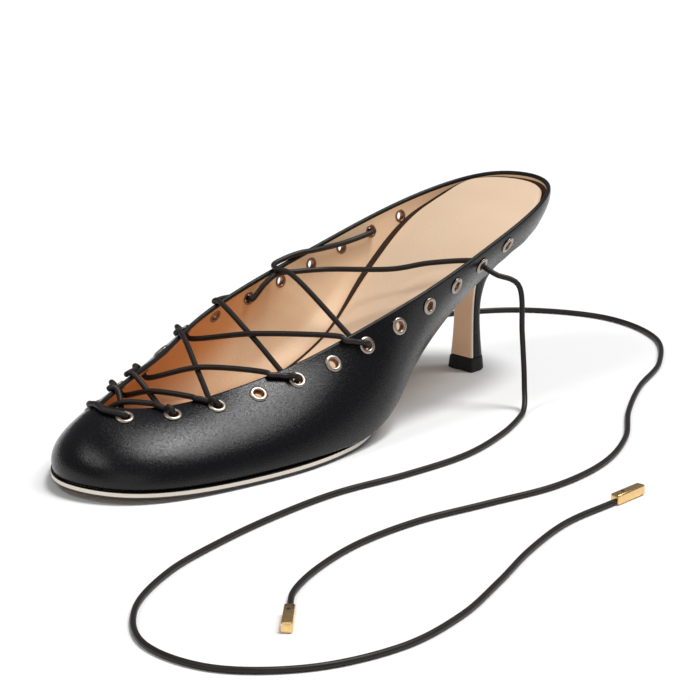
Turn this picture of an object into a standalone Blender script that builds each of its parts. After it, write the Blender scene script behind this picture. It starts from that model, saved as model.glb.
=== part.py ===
"""Lace-up heeled pump, the wearer's left shoe, standing empty on its sole.

Metres, +Z up, toe along +X, outer (lateral) side along +Y. The shape is worked out on the last, with x
measured forward from the back of the sole, and every piece is then moved so that the origin lies on the
floor under the middle of the shoe's box.
"""

import bpy
import bmesh
import numpy as np
from mathutils import Vector

MM = 0.001

# Driving sizes of the last
SOLE_LENGTH = 220 * MM
HALF_BALL_WIDTH = 38.5 * MM
BACK_HEIGHT = 68 * MM
HEEL_RISE = 53.2 * MM
BALL_BACK = 128 * MM
BALL_FRONT = 166 * MM
TOE_SPRING = 1.6 * MM

# Leather and seats
WALL = 1.6 * MM
GAP = 0.3 * MM
SOLE_THICK = 2.6 * MM
WAIST_THICK = 1.6 * MM
SOLE_BACK = 41.6 * MM
LIFT_HEIGHT = 5.0 * MM
BREAST_THICK = 0.9 * MM

# Eyelets, counted from the toe on each side
EYELETS = 12
EYELET_FIRST = {"outer": 12.6 * MM, "inner": 10 * MM}
EYELET_STEP = 15.4 * MM
EYELET_DROP = 5.8 * MM
HOLE_RADIUS = 2.45 * MM
BARREL_RADIUS = 2.1 * MM
BORE_RADIUS = 1.65 * MM
FLANGE_RADIUS = 3.1 * MM

# Cord and its tips. A crossing runs from the first eyelet of its pair over the topline to the second, and
# goes over the edge this many eyelet steps ahead of it. Its two runs meet at these shares of their length,
# with the one from the inner side on top. The last crossing runs from inside to inside.
CORD = 1.9 * MM
CORD_CLEAR = 0.45 * MM
CROSSINGS = ((1, 2), (2, 3), (3, 5), (5, 7))
LAST_CROSSING = (7, 11)
EDGE_LEAD = {"inner": {2: 0.7, 3: 0.95, 5: 0.65, 7: 1.05}, "outer": {2: 0.32, 3: 0.42, 5: 0.6, 7: 0.55}}
MEETING = (0.54, 0.45)
CROSSING_BITE = 0.4 * MM
TIP_LENGTH = 14 * MM
TIP_SIDE = 3.4 * MM

# One row for each section around the last, from the toe along the outer side to the heel and back.
# along, across: the edge over the sole, in % of SOLE_LENGTH and of HALF_BALL_WIDTH
# top_along, top_across, top_up: the topline, the last in % of BACK_HEIGHT
# rise, lean, reach, crown: how the wall leaves the sole and arrives at the topline, in mm (lean: mm per mm)
# margin: leather turned in under the insole, sole_edge: outsole beyond the wall, both in mm
SECTION_COLUMNS = ("along", "across", "top_along", "top_across", "top_up",
                   "rise", "lean", "reach", "crown", "margin", "sole_edge")
SECTIONS = {
    "toe_tip": (100, -5, 91.2, -11, 36.6, 9, 0.42, 8, -1.5, 5, 0.7),
    "toe_outer": (98.2, 43, 89.8, 4, 35.6, 9, 0.40, 8, -1.2, 5, 0.8),
    "toe_side_outer": (91, 75, 84, 26, 35.3, 9, 0.35, 9, -1.6, 5, 0.9),
    "vamp_outer": (78.6, 93.5, 73.4, 47, 39.7, 10, 0.30, 7, -4, 5, 0.9),
    "ball_outer": (65, 101, 62, 62, 47, 11, 0.28, 5, -6, 6, 0.2),
    "front_waist_outer": (48.6, 88, 48, 73.5, 58.8, 11, 0.30, 3, -8, 8, -3.5),
    "waist_outer": (36.6, 61, 36.4, 80.5, 69.4, 8, 0.50, 1, -7, 9, -6.5),
    "seat_outer": (21.8, 56, 21.4, 76.4, 82.4, 5, 0.60, 1, -4, 8, -6),
    "heel_outer": (10, 60, 8.9, 68.3, 94.4, 3.5, 0.50, 1, -4, 6, -2),
    "back_outer": (2.6, 37.4, 0.7, 40, 99.1, 3.5, 0.50, 1, -4, 6, -2),
    "back": (0, 0, -1.7, 1.5, 100, 3.5, 0.50, 1, -4, 6, -2),
    "back_inner": (2.7, -36.6, 1, -36, 98.4, 3.5, 0.50, 1, -4, 6, -2),
    "heel_inner": (10.2, -61, 9.1, -63, 92.4, 3.5, 0.50, 1, -4, 6, -2),
    "seat_inner": (22, -61.5, 22, -72, 84, 5, 0.50, 1, -4, 8, -6),
    "waist_inner": (37.3, -56, 36.6, -74.5, 73.5, 8, 0.45, 1, -7, 9, -6.5),
    "front_waist_inner": (52.3, -67.5, 50.5, -74, 63.8, 11, 0.30, 3, -8, 8, -4),
    "ball_inner": (71, -96.6, 63.4, -68, 52.4, 12, 0.25, 7, -5, 6, 0.2),
    "vamp_inner": (82, -90, 73.2, -49, 45.6, 10, 0.30, 5, -6.2, 5, 0.9),
    "toe_side_inner": (91, -67, 83.2, -31, 41.2, 9, 0.35, 5, -5.6, 5, 0.9),
    "toe_inner": (96.8, -38.5, 89, -21, 37.2, 9, 0.40, 6, -4, 5, 0.8),
}

# Heel block from the lift up to the seat, in mm: a level height, the share of the seat's own surface that
# bends the section up to it, the front and back of the section and half its width.
HEEL_COLUMNS = ("height", "seat_share", "front", "back", "half_width")
HEEL_SECTIONS = (
    (5.3, 0, 30.0, 22.4, 5.2),
    (13, 0, 29.6, 23.2, 4.7),
    (21, 0, 29.3, 23.6, 4.5),
    (28, 0, 29.3, 22.6, 4.9),
    (32.5, 0.15, 30.2, 19.5, 6.8),
    (33.2, 0.4, 32.3, 13, 10.5),
    (26.5, 0.75, 35.8, 6, 15.5),
    (0, 1, 40.4, 1.2, 20.6),
)

# Routes of the two free ends, in mm on the last: from the eyelet, down the wall, then loose on the floor.
FLOOR_LINE = 1.05
TIE_OUTER_ROUTE = (
    (48.5, 41, 42), (49, 43, 26), (51, 46, 9), (59, 52, FLOOR_LINE), (80, 61, FLOOR_LINE),
    (106, 67, FLOOR_LINE), (134, 66, FLOOR_LINE), (162, 62, FLOOR_LINE), (190, 63, FLOOR_LINE),
    (218, 67, FLOOR_LINE), (246, 74, FLOOR_LINE), (272, 88, FLOOR_LINE), (288, 109, FLOOR_LINE),
    (287, 134, FLOOR_LINE), (269, 153, FLOOR_LINE), (242, 161, FLOOR_LINE), (214, 158, FLOOR_LINE),
    (187, 149, FLOOR_LINE), (161, 139, FLOOR_LINE), (135, 132, FLOOR_LINE), (110, 131, FLOOR_LINE),
)
TIE_INNER_ROUTE = (
    (48.5, -40, 43), (48, -42, 26), (45, -45, 9), (36, -50, FLOOR_LINE), (14, -56, FLOOR_LINE),
    (-16, -53, FLOOR_LINE), (-44, -35, FLOOR_LINE), (-58, -4, FLOOR_LINE), (-49, 27, FLOOR_LINE),
    (-23, 49, FLOOR_LINE), (6, 62, FLOOR_LINE), (32, 77, FLOOR_LINE), (56, 94, FLOOR_LINE),
    (82, 105, FLOOR_LINE), (110, 108, FLOOR_LINE), (138, 103, FLOOR_LINE), (164, 98, FLOOR_LINE),
    (190, 98, FLOOR_LINE), (213, 103, FLOOR_LINE), (232, 111, FLOOR_LINE), (244, 121, FLOOR_LINE),
)

UP = np.array((0.0, 0.0, 1.0))


def clear_scene():
    for item in list(bpy.data.objects):
        bpy.data.objects.remove(item, do_unlink=True)


def finish(name, colour, roughness, metallic=0.0):
    """A plain surface in the piece's own colour."""
    material = bpy.data.materials.new(name)
    material.use_nodes = True
    shader = material.node_tree.nodes["Principled BSDF"]
    shader.inputs["Base Color"].default_value = (*colour, 1.0)
    shader.inputs["Roughness"].default_value = roughness
    shader.inputs["Metallic"].default_value = metallic
    return material


def rise(x):
    """Height of the last's bottom: flat under the ball, an easing S up to the heel, a little toe spring."""
    back = np.clip((BALL_BACK - x) / BALL_BACK, 0, None)
    front = np.clip((x - BALL_FRONT) / (SOLE_LENGTH - BALL_FRONT), 0, None)
    seat = SOLE_THICK + GAP
    return seat + HEEL_RISE * (3 * back**2 - 2 * back**3) + TOE_SPRING * front**2


def ease(x, start, end):
    """0 before start, 1 after end, with a smooth S between them."""
    t = np.clip((x - start) / (end - start), 0, 1)
    return t * t * (3 - 2 * t)


def unit(v):
    return v / np.linalg.norm(v, axis=-1, keepdims=True)


def closed_curve(rows, steps):
    """Periodic cubic curve through the rows, spaced by the root of the distance between sole points."""
    count = len(rows)
    span = np.sqrt(np.linalg.norm(np.roll(rows[:, :2], -1, 0) - rows[:, :2], axis=1))
    before = np.roll(span, 1)
    system = np.zeros((count, count))
    index = np.arange(count)
    system[index, index] = 2 * (before + span)
    system[index, index - 1] = before
    system[index, (index + 1) % count] = span
    slope = (np.roll(rows, -1, 0) - rows) / span[:, None]
    bend = np.linalg.solve(system, 6 * (slope - np.roll(slope, 1, 0)))
    t = np.linspace(0, 1, steps, endpoint=False)[None, :, None]
    first, second = rows[:, None], np.roll(rows, -1, 0)[:, None]
    bend_first, bend_second = bend[:, None], np.roll(bend, -1, 0)[:, None]
    curve = first * (1 - t) + second * t
    pull = ((1 - t) ** 3 - (1 - t)) * bend_first + (t**3 - t) * bend_second
    return (curve + pull * (span**2)[:, None, None] / 6).reshape(count * steps, -1)


def smooth_rows(rows, steps):
    """Catmull-Rom curve through the rows, read at even steps between them."""
    padded = np.vstack((2 * rows[0] - rows[1], rows, 2 * rows[-1] - rows[-2]))
    a, b, c, d = padded[:-3, None], padded[1:-2, None], padded[2:-1, None], padded[3:, None]
    t = np.linspace(0, 1, steps, endpoint=False)[None, :, None]
    fine = 0.5 * (2 * b + (c - a) * t + (2 * a - 5 * b + 4 * c - d) * t**2 + (3 * b - a - 3 * c + d) * t**3)
    return np.vstack((fine.reshape(-1, rows.shape[1]), rows[-1:]))


def smooth_path(points, spacing):
    """The smooth curve through the points, read off at even spacing."""
    fine = smooth_rows(points, 24)
    run = np.concatenate(([0], np.cumsum(np.linalg.norm(np.diff(fine, axis=0), axis=1))))
    even = np.linspace(0, run[-1], max(2, round(run[-1] / spacing) + 1))
    return np.column_stack([np.interp(even, run, fine[:, k]) for k in range(fine.shape[1])])


class Last:
    """The shoe's sections: sole edge, topline and the wall between them, at steps columns for each row."""

    def __init__(self, steps):
        rows = np.array(list(SECTIONS.values()), float)
        column = {name: k for k, name in enumerate(SECTION_COLUMNS)}
        scale = np.full(len(SECTION_COLUMNS), MM)
        scale[[column["along"], column["top_along"]]] = SOLE_LENGTH / 100
        scale[[column["across"], column["top_across"]]] = HALF_BALL_WIDTH / 100
        scale[column["top_up"]] = BACK_HEIGHT / 100
        scale[column["lean"]] = 1
        ring = closed_curve(rows * scale, steps)
        size = {name: ring[:, k : k + 1] for name, k in column.items()}
        self.edge = np.hstack((size["along"], size["across"], rise(size["along"])))
        self.top = np.hstack((size["top_along"], size["top_across"], size["top_up"]))
        ahead = np.roll(self.edge, -1, 0) - np.roll(self.edge, 1, 0)
        self.out = unit(np.column_stack((-ahead[:, 1], ahead[:, 0], np.zeros(len(ahead)))))
        self.out *= np.sign(np.sum(self.out * (self.edge - self.edge.mean(0))))
        self.low_handle = self.edge + (self.out * size["lean"] + UP) * size["rise"]
        self.high_handle = self.top + self.out * size["reach"] + UP * size["crown"]
        self.margin = size["margin"]
        self.sole_edge = size["sole_edge"]

    def wall(self, levels):
        """Outer face of the wall: one cubic from the sole edge to the topline for each column."""
        v = np.linspace(0, 1, levels + 1)[None, :, None]
        low, high = self.low_handle[:, None], self.high_handle[:, None]
        start, end = self.edge[:, None], self.top[:, None]
        return start * (1 - v) ** 3 + 3 * low * (1 - v) ** 2 * v + 3 * high * (1 - v) * v**2 + end * v**3

    def turned_in(self):
        """Inner end of the leather that is turned in under the insole."""
        end = self.edge - self.out * self.margin
        end[:, 2] = rise(end[:, 0])
        return end

    def facing(self, grid):
        """Outward normals of a wall grid."""
        across = np.roll(grid, -1, 0) - np.roll(grid, 1, 0)
        upward = np.gradient(grid, axis=1)
        normal = unit(np.cross(across, upward))
        return normal * np.sign(np.sum(normal * self.out[:, None]))

    def inside(self, grid):
        """Inner face of the wall: the outer one moved in by the leather, with a square corner below."""
        inner = grid - self.facing(grid) * WALL
        inner[:, 0] = self.edge - self.out * WALL
        inner[:, 0, 2] = rise(inner[:, 0, 0]) + WALL
        return inner

    def below_top(self, drop):
        """Points and normals on the wall's outer face, this far below the topline on each column."""
        grid = self.wall(60)
        normal = self.facing(grid)
        down = grid[:, ::-1]
        run = np.cumsum(np.linalg.norm(np.diff(down, axis=1), axis=2), axis=1)
        pick = np.argmax(run >= drop, axis=1)
        column = np.arange(len(grid))
        return down[column, pick + 1], normal[:, ::-1][column, pick + 1]


LAST = Last(4)
FINE = Last(24)
WALL_LEVELS = 7


def box_centre():
    """Middle of the shoe's box on the floor, from the wall and the outsole's edge."""
    outline = LAST.edge + LAST.out * LAST.sole_edge
    points = np.vstack((LAST.wall(WALL_LEVELS).reshape(-1, 3), outline[outline[:, 0] > SOLE_BACK]))
    middle = (points.min(0) + points.max(0)) / 2
    return np.array((middle[0], middle[1], 0.0))


CENTRE = box_centre()


def add_mesh(name, points, faces, material, smooth_angle=40):
    """A named mesh object in the shoe's frame, closed, with its faces turned outwards."""
    mesh = bpy.data.meshes.new(name)
    mesh.from_pydata((np.asarray(points) - CENTRE).tolist(), [], faces)
    work = bmesh.new()
    work.from_mesh(mesh)
    bmesh.ops.recalc_face_normals(work, faces=work.faces)
    work.to_mesh(mesh)
    work.free()
    mesh.materials.append(material)
    mesh.shade_smooth()
    mesh.set_sharp_from_angle(angle=np.radians(smooth_angle))
    item = bpy.data.objects.new(name, mesh)
    bpy.context.scene.collection.objects.link(item)
    return item


def helper(item):
    item.hide_render = True
    item.display_type = "WIRE"
    return item


def strips(first, second):
    """Quads between two closed loops of vertex numbers."""
    return np.column_stack((first, np.roll(first, -1), np.roll(second, -1), second)).tolist()


def loop_stack(loops, closed=False):
    """Points and faces of closed loops joined one to the next, and back to the first or with end caps."""
    count = len(loops[0])
    numbers = np.arange(len(loops) * count).reshape(len(loops), count)
    faces = [face for a, b in zip(numbers[:-1], numbers[1:]) for face in strips(a, b)]
    if closed:
        faces += strips(numbers[-1], numbers[0])
    else:
        faces += [numbers[0].tolist(), numbers[-1].tolist()]
    return np.vstack(loops), faces


def zip_cap(ring, first):
    """Triangles over a long narrow loop: its two sides joined in order from the front to the back."""
    count = len(ring)
    front, back = np.argmax(ring[:, 0]), np.argmin(ring[:, 0])
    left = (front + np.arange((back - front) % count + 1)) % count
    right = (front - np.arange((front - back) % count + 1)) % count
    faces = []
    i = j = 0
    while i < len(left) - 1 or j < len(right) - 1:
        left_next = j == len(right) - 1
        if i < len(left) - 1 and not left_next:
            left_next = ring[left[i + 1], 0] > ring[right[j + 1], 0]
        third = left[i + 1] if left_next else right[j + 1]
        faces.append([left[i], third, right[j]])
        i, j = i + left_next, j + (not left_next)
    return [[int(v) + first for v in face] for face in faces if len(set(face)) == 3]


def slab(outlines, spine, heights, shares, material, name):
    """A plate between an upper and a lower outline: rings drawn in towards the spine, each at its height."""
    loops, under = [], []
    for outline, height, stack in zip(outlines, heights, (loops, under)):
        for share in shares:
            ring = spine + (outline - spine) * share
            stack.append(np.column_stack((ring[:, :2], height(ring[:, 0], share))))
    points, faces = loop_stack(loops[::-1] + under)
    caps = zip_cap(loops[-1], 0) + zip_cap(under[-1], len(points) - len(spine))
    add_mesh(name, points, faces[:-2] + caps, material)


def spine_of(outline, inset):
    """For each outline point the nearest place on the plate's middle line, short of its ends."""
    x = np.clip(outline[:, 0], outline[:, 0].min() + inset, outline[:, 0].max() - inset)
    outer = outline[outline[:, 1] > 0]
    inner = outline[outline[:, 1] <= 0]
    outer = outer[np.argsort(outer[:, 0])]
    inner = inner[np.argsort(inner[:, 0])]
    middle = (np.interp(x, outer[:, 0], outer[:, 1]) + np.interp(x, inner[:, 0], inner[:, 1])) / 2
    return np.column_stack((x, middle, outline[:, 2] * 0))


def along_row(side, numbers):
    """Centre, outward normal and topline point at eyelet numbers, whole or between two, on one side."""
    order, start = (1, 0) if side == "outer" else (-1, 1)
    points, normals = FINE.below_top(EYELET_DROP)
    lines = [np.roll(data[::order], start, axis=0) for data in (points, normals, FINE.top)]
    run = np.concatenate(([0], np.cumsum(np.linalg.norm(np.diff(lines[0], axis=0), axis=1))))
    stations = EYELET_FIRST[side] + EYELET_STEP * (np.asarray(numbers) - 1)
    centre, facing, rim = (np.column_stack([np.interp(stations, run, line[:, k]) for k in range(3)])
                           for line in lines)
    return list(zip(centre, unit(facing), rim))


def eyelet_places():
    """The place of every eyelet, evenly spaced below the topline on both sides."""
    numbers = range(1, EYELETS + 1)
    return {(side, number): place for side in ("outer", "inner")
            for number, place in zip(numbers, along_row(side, numbers))}


def turned(profile, steps, centre, axis):
    """Loops of a profile of (radius, height) turned about an axis through centre."""
    side = unit(np.cross(axis, UP))
    other = np.cross(axis, side)
    angle = np.linspace(0, 2 * np.pi, steps, endpoint=False)[:, None]
    round_about = np.cos(angle) * side + np.sin(angle) * other
    return [centre + round_about * radius + axis * height for radius, height in profile]


def tube(path, radius, sides=6):
    """Closed round bar along a short path."""
    along = unit(np.gradient(path, axis=0))
    side = unit(np.cross(along, UP))
    other = np.cross(along, side)
    angle = np.linspace(0, 2 * np.pi, sides, endpoint=False)
    loops = [p + radius * (np.cos(angle)[:, None] * s + np.sin(angle)[:, None] * o)
             for p, s, o in zip(path, side, other)]
    return loop_stack(loops)


def make_upper(places, leather):
    """Hollow upper: wall and turned-in margin, offset inwards by the leather, pierced for the eyelets."""
    wall = LAST.wall(WALL_LEVELS)
    margin = LAST.turned_in()
    inside = np.swapaxes(LAST.inside(wall), 0, 1)[::-1]
    loops = [margin, *np.swapaxes(wall, 0, 1), *inside, margin + UP * WALL]
    upper = add_mesh("upper", *loop_stack(loops, closed=True), leather, smooth_angle=50)
    reach = 4 * MM
    cutters = [turned(((HOLE_RADIUS, -reach), (HOLE_RADIUS, reach)), 10, centre, axis)
               for centre, axis, _ in places.values()]
    pieces = [loop_stack(loops) for loops in cutters]
    size = len(pieces[0][0])
    all_points = np.vstack([piece[0] for piece in pieces])
    all_faces = [[v + k * size for v in face] for k, piece in enumerate(pieces) for face in piece[1]]
    punch = helper(add_mesh("eyelet_punch", all_points, all_faces, leather))
    cut = upper.modifiers.new("eyelet_holes", "BOOLEAN")
    cut.operation = "DIFFERENCE"
    cut.object = punch


def make_outsole(leather):
    """Leather sole: full under the forepart, drawn in and thinner under the waist, ending at the heel."""
    edge = LAST.edge + LAST.out * LAST.sole_edge
    front = edge[edge[:, 0] > SOLE_BACK + 2 * MM]
    outer = front[front[:, 1] > 0]
    inner = front[front[:, 1] <= 0]
    half_outer = outer[np.argmin(outer[:, 0]), 1]
    half_inner = inner[np.argmin(inner[:, 0]), 1]
    back = np.array([(SOLE_BACK, half_outer, 0), (SOLE_BACK, 0, 0), (SOLE_BACK, half_inner, 0)])
    place = np.argmax(np.abs(np.diff(front[:, 1])) > 15 * MM) + 1
    outline = np.vstack((front[:place], back, front[place:])) * (1, 1, 0)

    def top(x, share):
        return rise(x) - GAP

    def bottom(x, share):
        thick = WAIST_THICK + (SOLE_THICK - WAIST_THICK) * ease(x, 75 * MM, BALL_BACK)
        return rise(x) - GAP - thick

    slab((outline, outline), spine_of(outline, 14 * MM), (top, bottom), (1.0, 0.5, 0.1), leather, "outsole")


def make_insole(sock):
    """Sock-covered insole inside the wall, with a padded seat that fills the heel nearly to the topline."""
    inside = LAST.inside(LAST.wall(WALL_LEVELS))
    low = WALL + GAP
    height = inside[:, :, 2] - LAST.edge[:, None, 2]
    reach = np.sum((inside - LAST.edge[:, None]) * LAST.out[:, None], axis=2)

    def rim(x):
        return (4.2 + 3.0 * (1 - ease(x, 30 * MM, 90 * MM)) + 2.5 * (1 - ease(x, 8 * MM, 26 * MM))) * MM

    def top(x, share):
        pad = 3.2 * MM * (1 - ease(x, 45 * MM, 95 * MM)) * (0.35 + 0.65 * ease(x, 8 * MM, 30 * MM))
        return rise(x) + rim(x) + (0.2 * MM + pad) * (1 - share**2)

    def bottom(x, share):
        return rise(x) + low

    levels = np.linspace(low - GAP, 5 * MM, 6)
    narrow = np.array([np.interp(levels, h, r).min() for h, r in zip(height, reach)])
    along = LAST.edge[:, 0]
    flare = np.array([np.interp(level, h, r) for level, h, r in zip(rim(along), height, reach)])
    wide = narrow + np.maximum(flare - narrow, 0) * (1 - ease(along, 45 * MM, 75 * MM))
    outlines = [(LAST.edge + LAST.out * (side - GAP)[:, None]) * (1, 1, 0) for side in (wide, narrow)]
    slab(outlines, spine_of(outlines[1], 18 * MM), (top, bottom), (1.0, 0.75, 0.4, 0.08), sock, "insole")


def heel_ring(size, arc=12, side=3):
    """D-shaped section of the heel: flat front, straight sides, round back."""
    front, back, half = size["front"], size["back"], size["half_width"]
    middle = back + min(half, 0.7 * (front - back))
    turn = np.linspace(0, np.pi, arc + 1)
    x = np.concatenate((np.linspace(front, middle, side, endpoint=False),
                        middle - (middle - back) * np.sin(turn),
                        np.linspace(middle, front, side + 1)[1:], (front,)))
    y = np.concatenate((np.full(side, half), half * np.cos(turn), np.full(side, -half), (0.0,)))
    level = size["height"] * (1 - size["seat_share"])
    return np.column_stack((x, y, level + size["seat_share"] * (rise(x) - GAP)))


def heel_sizes(steps):
    """The heel's table drawn through smoothly, as a list of named sizes."""
    rows = np.array(HEEL_SECTIONS, float)
    rows[:, [0, 2, 3, 4]] *= MM
    return [dict(zip(HEEL_COLUMNS, row)) for row in smooth_rows(rows, steps)]


def make_heel(cover, sole_leather, lift_rubber):
    """Slim curved heel, the sole leather down its front, and the lift under it."""
    sizes = heel_sizes(2)
    rings = [heel_ring(size) for size in sizes]
    seat = rings[-1]
    spine = np.column_stack((np.clip(seat[:, 0], 14 * MM, 30 * MM), seat[:, 1] * 0, seat[:, 2] * 0))
    for share in (0.5, 0.1):
        inner = spine + (seat - spine) * share
        rings.append(np.column_stack((inner[:, :2], rise(inner[:, 0]) - GAP)))
    points, faces = loop_stack(rings)
    add_mesh("heel", points, faces[:-1] + zip_cap(rings[-1], len(points) - len(seat)), cover)

    profile = np.array([(s["front"], heel_ring(s)[0, 2], s["half_width"]) for s in sizes[:-2]])
    along = unit(np.gradient(profile[:, :2], axis=0))
    forward = np.column_stack((along[:, 1], -along[:, 0]))
    loops = []
    for (x, z, half), (nx, nz) in zip(profile, forward):
        near, far = GAP, GAP + BREAST_THICK
        width = half - 0.2 * MM
        loops.append(np.array([(x + nx * near, width, z + nz * near), (x + nx * near, -width, z + nz * near),
                               (x + nx * far, -width, z + nz * far), (x + nx * far, width, z + nz * far)]))
    points, faces = loop_stack(loops)
    add_mesh("heel_breast", points, faces, sole_leather)

    foot = dict(sizes[0])
    foot["front"] += BREAST_THICK + GAP
    loops = []
    for height, spread in ((0.0, 0.5), (0.4, 0.6), (LIFT_HEIGHT / MM, 0.1)):
        ring = heel_ring(dict(foot, height=height * MM, front=foot["front"] + spread * MM,
                              back=foot["back"] - spread * MM, half_width=foot["half_width"] + spread * MM))
        loops.append(ring)
    points, faces = loop_stack(loops)
    add_mesh("top_lift", points, faces, lift_rubber)


def make_eyelets(places, metal):
    """Ring eyelets: a flange on the wall's outer face and a barrel through the hole."""
    flange = GAP + 0.5 * MM
    end = -WALL - 0.2 * MM
    profile = ((BORE_RADIUS, end), (BORE_RADIUS, flange), (FLANGE_RADIUS - 0.5 * MM, flange),
               (FLANGE_RADIUS, GAP), (BARREL_RADIUS, GAP), (BARREL_RADIUS, end))
    for (side, number), (centre, axis, _) in places.items():
        ring = loop_stack(turned(profile, 8, centre, axis), closed=True)
        add_mesh(f"eyelet_{side}_{number:02d}", *ring, metal)


def inside_end(place):
    """Where a strand leaves the inner mouth of an eyelet."""
    centre, axis, _ = place
    return centre - axis * (WALL + 0.2 * MM + CORD_CLEAR + 0.7 * MM)


def near_edge(side, number, inward, up):
    """A point beside the topline at an eyelet number, this far in from it and above it."""
    ((_, axis, rim),) = along_row(side, [number])
    return rim + unit(-axis * (1, 1, 0)) * inward + UP * up


def over_edge(side, number):
    """Where a strand lies on the topline, before it turns down to an eyelet's outer mouth."""
    return near_edge(side, number - EDGE_LEAD[side][number], 1.2 * MM, CORD / 2 + CORD_CLEAR)


def crossing(under, over):
    """Paths of two runs that cross, each bent a little so that they lie on one another where they meet."""
    meet = sum(start + (end - start) * share for (start, end), share in zip((under, over), MEETING)) / 2
    part = UP * (CORD - CROSSING_BITE) / 2
    return [smooth_rows(np.array((start, meet + side * part, end)), 3)
            for (start, end), side in ((under, -1), (over, 1))]


def add_pair(name, first, second, cord):
    """One solid from two runs of cord that touch."""
    pair = add_mesh(name, *tube(first, CORD / 2), cord)
    other = helper(add_mesh(f"{name}_second", *tube(second, CORD / 2), cord))
    join = pair.modifiers.new("join", "BOOLEAN")
    join.operation = "UNION"
    join.object = other


def make_lace(places, cord):
    """The cord's runs over the throat. Pairs that cross are one solid, and all end clear of the eyelets."""
    for number, (low, high) in enumerate(CROSSINGS, 1):
        runs = [(inside_end(places[start, low]), over_edge(end, high))
                for start, end in (("outer", "inner"), ("inner", "outer"))]
        add_pair(f"lace_cross_{number}", *crossing(*runs), cord)

    low, high = LAST_CROSSING
    hooked = ((7.75, 9, 0.4), (7.7, 4, 0.8), (7.8, 1, 1.6), (8.2, 0.9, 1.6), (8.6, 2.6, 1.4), (9, 3.8, 0),
              (10, 4.2, -3.4))
    held = ((7.35, 3.8, -2.4), (7.7, 4, -0.7), (8.3, 6.5, -2.2), (9, 11, -3.5))
    hooked, held = ([near_edge("inner", number, inward * MM, up * MM) for number, inward, up in run]
                    for run in (hooked, held))
    start = inside_end(places["outer", low])
    straight = start + (hooked[0] - start) * 0.85
    hooked = [start, straight, *hooked, inside_end(places["inner", high])]
    held = [inside_end(places["inner", low]), *held, inside_end(places["outer", high])]
    add_pair("lace_cross_5", *(smooth_rows(np.array(run), 2) for run in (hooked, held)), cord)

    points, normals = FINE.below_top(4.5 * MM)
    reach = CORD / 2 + CORD_CLEAR
    ends = [places[side, 1][0] + places[side, 1][1] * (GAP + 0.5 * MM + reach)
            for side in ("inner", "outer")]
    columns = (-14, -7, 0, 7, 14)
    over_vamp = [points[k] + normals[k] * reach for k in columns]
    bar = np.array([ends[0], *over_vamp, ends[1]])
    add_mesh("lace_toe_bar", *tube(smooth_path(bar, 3.6 * CORD), CORD / 2), cord)


def make_tie(name, tip_name, start, axis, route, cord, metal):
    """A free end of the cord: out of its eyelet, down, loose on the floor, into a small metal bar."""
    out = start + axis * (GAP + 0.5 * MM + CORD_CLEAR)
    points = np.vstack((out, out + axis * 5 * MM, np.array(route, float) * MM))
    path = smooth_path(points, 4 * CORD)
    path[:, 2] = np.maximum(path[:, 2], FLOOR_LINE * MM)
    curve = bpy.data.curves.new(name, "CURVE")
    curve.dimensions = "3D"
    curve.bevel_depth = CORD / 2
    curve.bevel_resolution = 1
    curve.use_fill_caps = True
    spline = curve.splines.new("POLY")
    spline.points.add(len(path) - 1)
    spline.points.foreach_set("co", np.column_stack((path - CENTRE, np.ones(len(path)))).ravel())
    curve.materials.append(cord)
    item = bpy.data.objects.new(name, curve)
    bpy.context.scene.collection.objects.link(item)

    ahead = unit((path[-1] - path[-2]) * (1, 1, 0))
    middle = path[-1] + ahead * (GAP + TIP_LENGTH / 2)
    middle[2] = TIP_SIDE / 2 + 0.1 * MM
    work = bmesh.new()
    bmesh.ops.create_cube(work, size=1.0)
    bmesh.ops.scale(work, vec=(TIP_LENGTH, TIP_SIDE, TIP_SIDE), verts=work.verts)
    bmesh.ops.bevel(work, geom=work.edges[:], offset=0.35 * MM, segments=1, affect="EDGES")
    mesh = bpy.data.meshes.new(tip_name)
    work.to_mesh(mesh)
    work.free()
    mesh.transform(Vector(ahead).to_track_quat("X", "Z").to_matrix().to_4x4())
    mesh.transform(bpy.context.scene.cursor.matrix.Translation(Vector(middle - CENTRE)))
    mesh.materials.append(metal)
    tip = bpy.data.objects.new(tip_name, mesh)
    bpy.context.scene.collection.objects.link(tip)


def main():
    clear_scene()
    leather = finish("black_leather", (0.012, 0.012, 0.013), 0.42)
    heel_cover = finish("heel_cover", (0.015, 0.015, 0.016), 0.4)
    sole_leather = finish("sole_leather", (0.42, 0.27, 0.16), 0.5)
    breast_leather = finish("breast_leather", (0.36, 0.22, 0.13), 0.5)
    sock = finish("insole_sock", (0.74, 0.56, 0.40), 0.6)
    rubber = finish("lift_rubber", (0.01, 0.01, 0.01), 0.6)
    metal = finish("pale_gold", (0.78, 0.66, 0.48), 0.25, 1.0)
    tip_metal = finish("tip_gold", (0.80, 0.58, 0.30), 0.25, 1.0)
    cord = finish("lace_cord", (0.012, 0.010, 0.010), 0.45)

    places = eyelet_places()
    make_upper(places, leather)
    make_outsole(sole_leather)
    make_insole(sock)
    make_heel(heel_cover, breast_leather, rubber)
    make_eyelets(places, metal)
    make_lace(places, cord)
    for side, route in (("outer", TIE_OUTER_ROUTE), ("inner", TIE_INNER_ROUTE)):
        start, axis, _ = places[side, 11]
        make_tie(f"tie_{side}", f"tip_{side}", start, axis, route, cord, tip_metal)


main()
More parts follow.
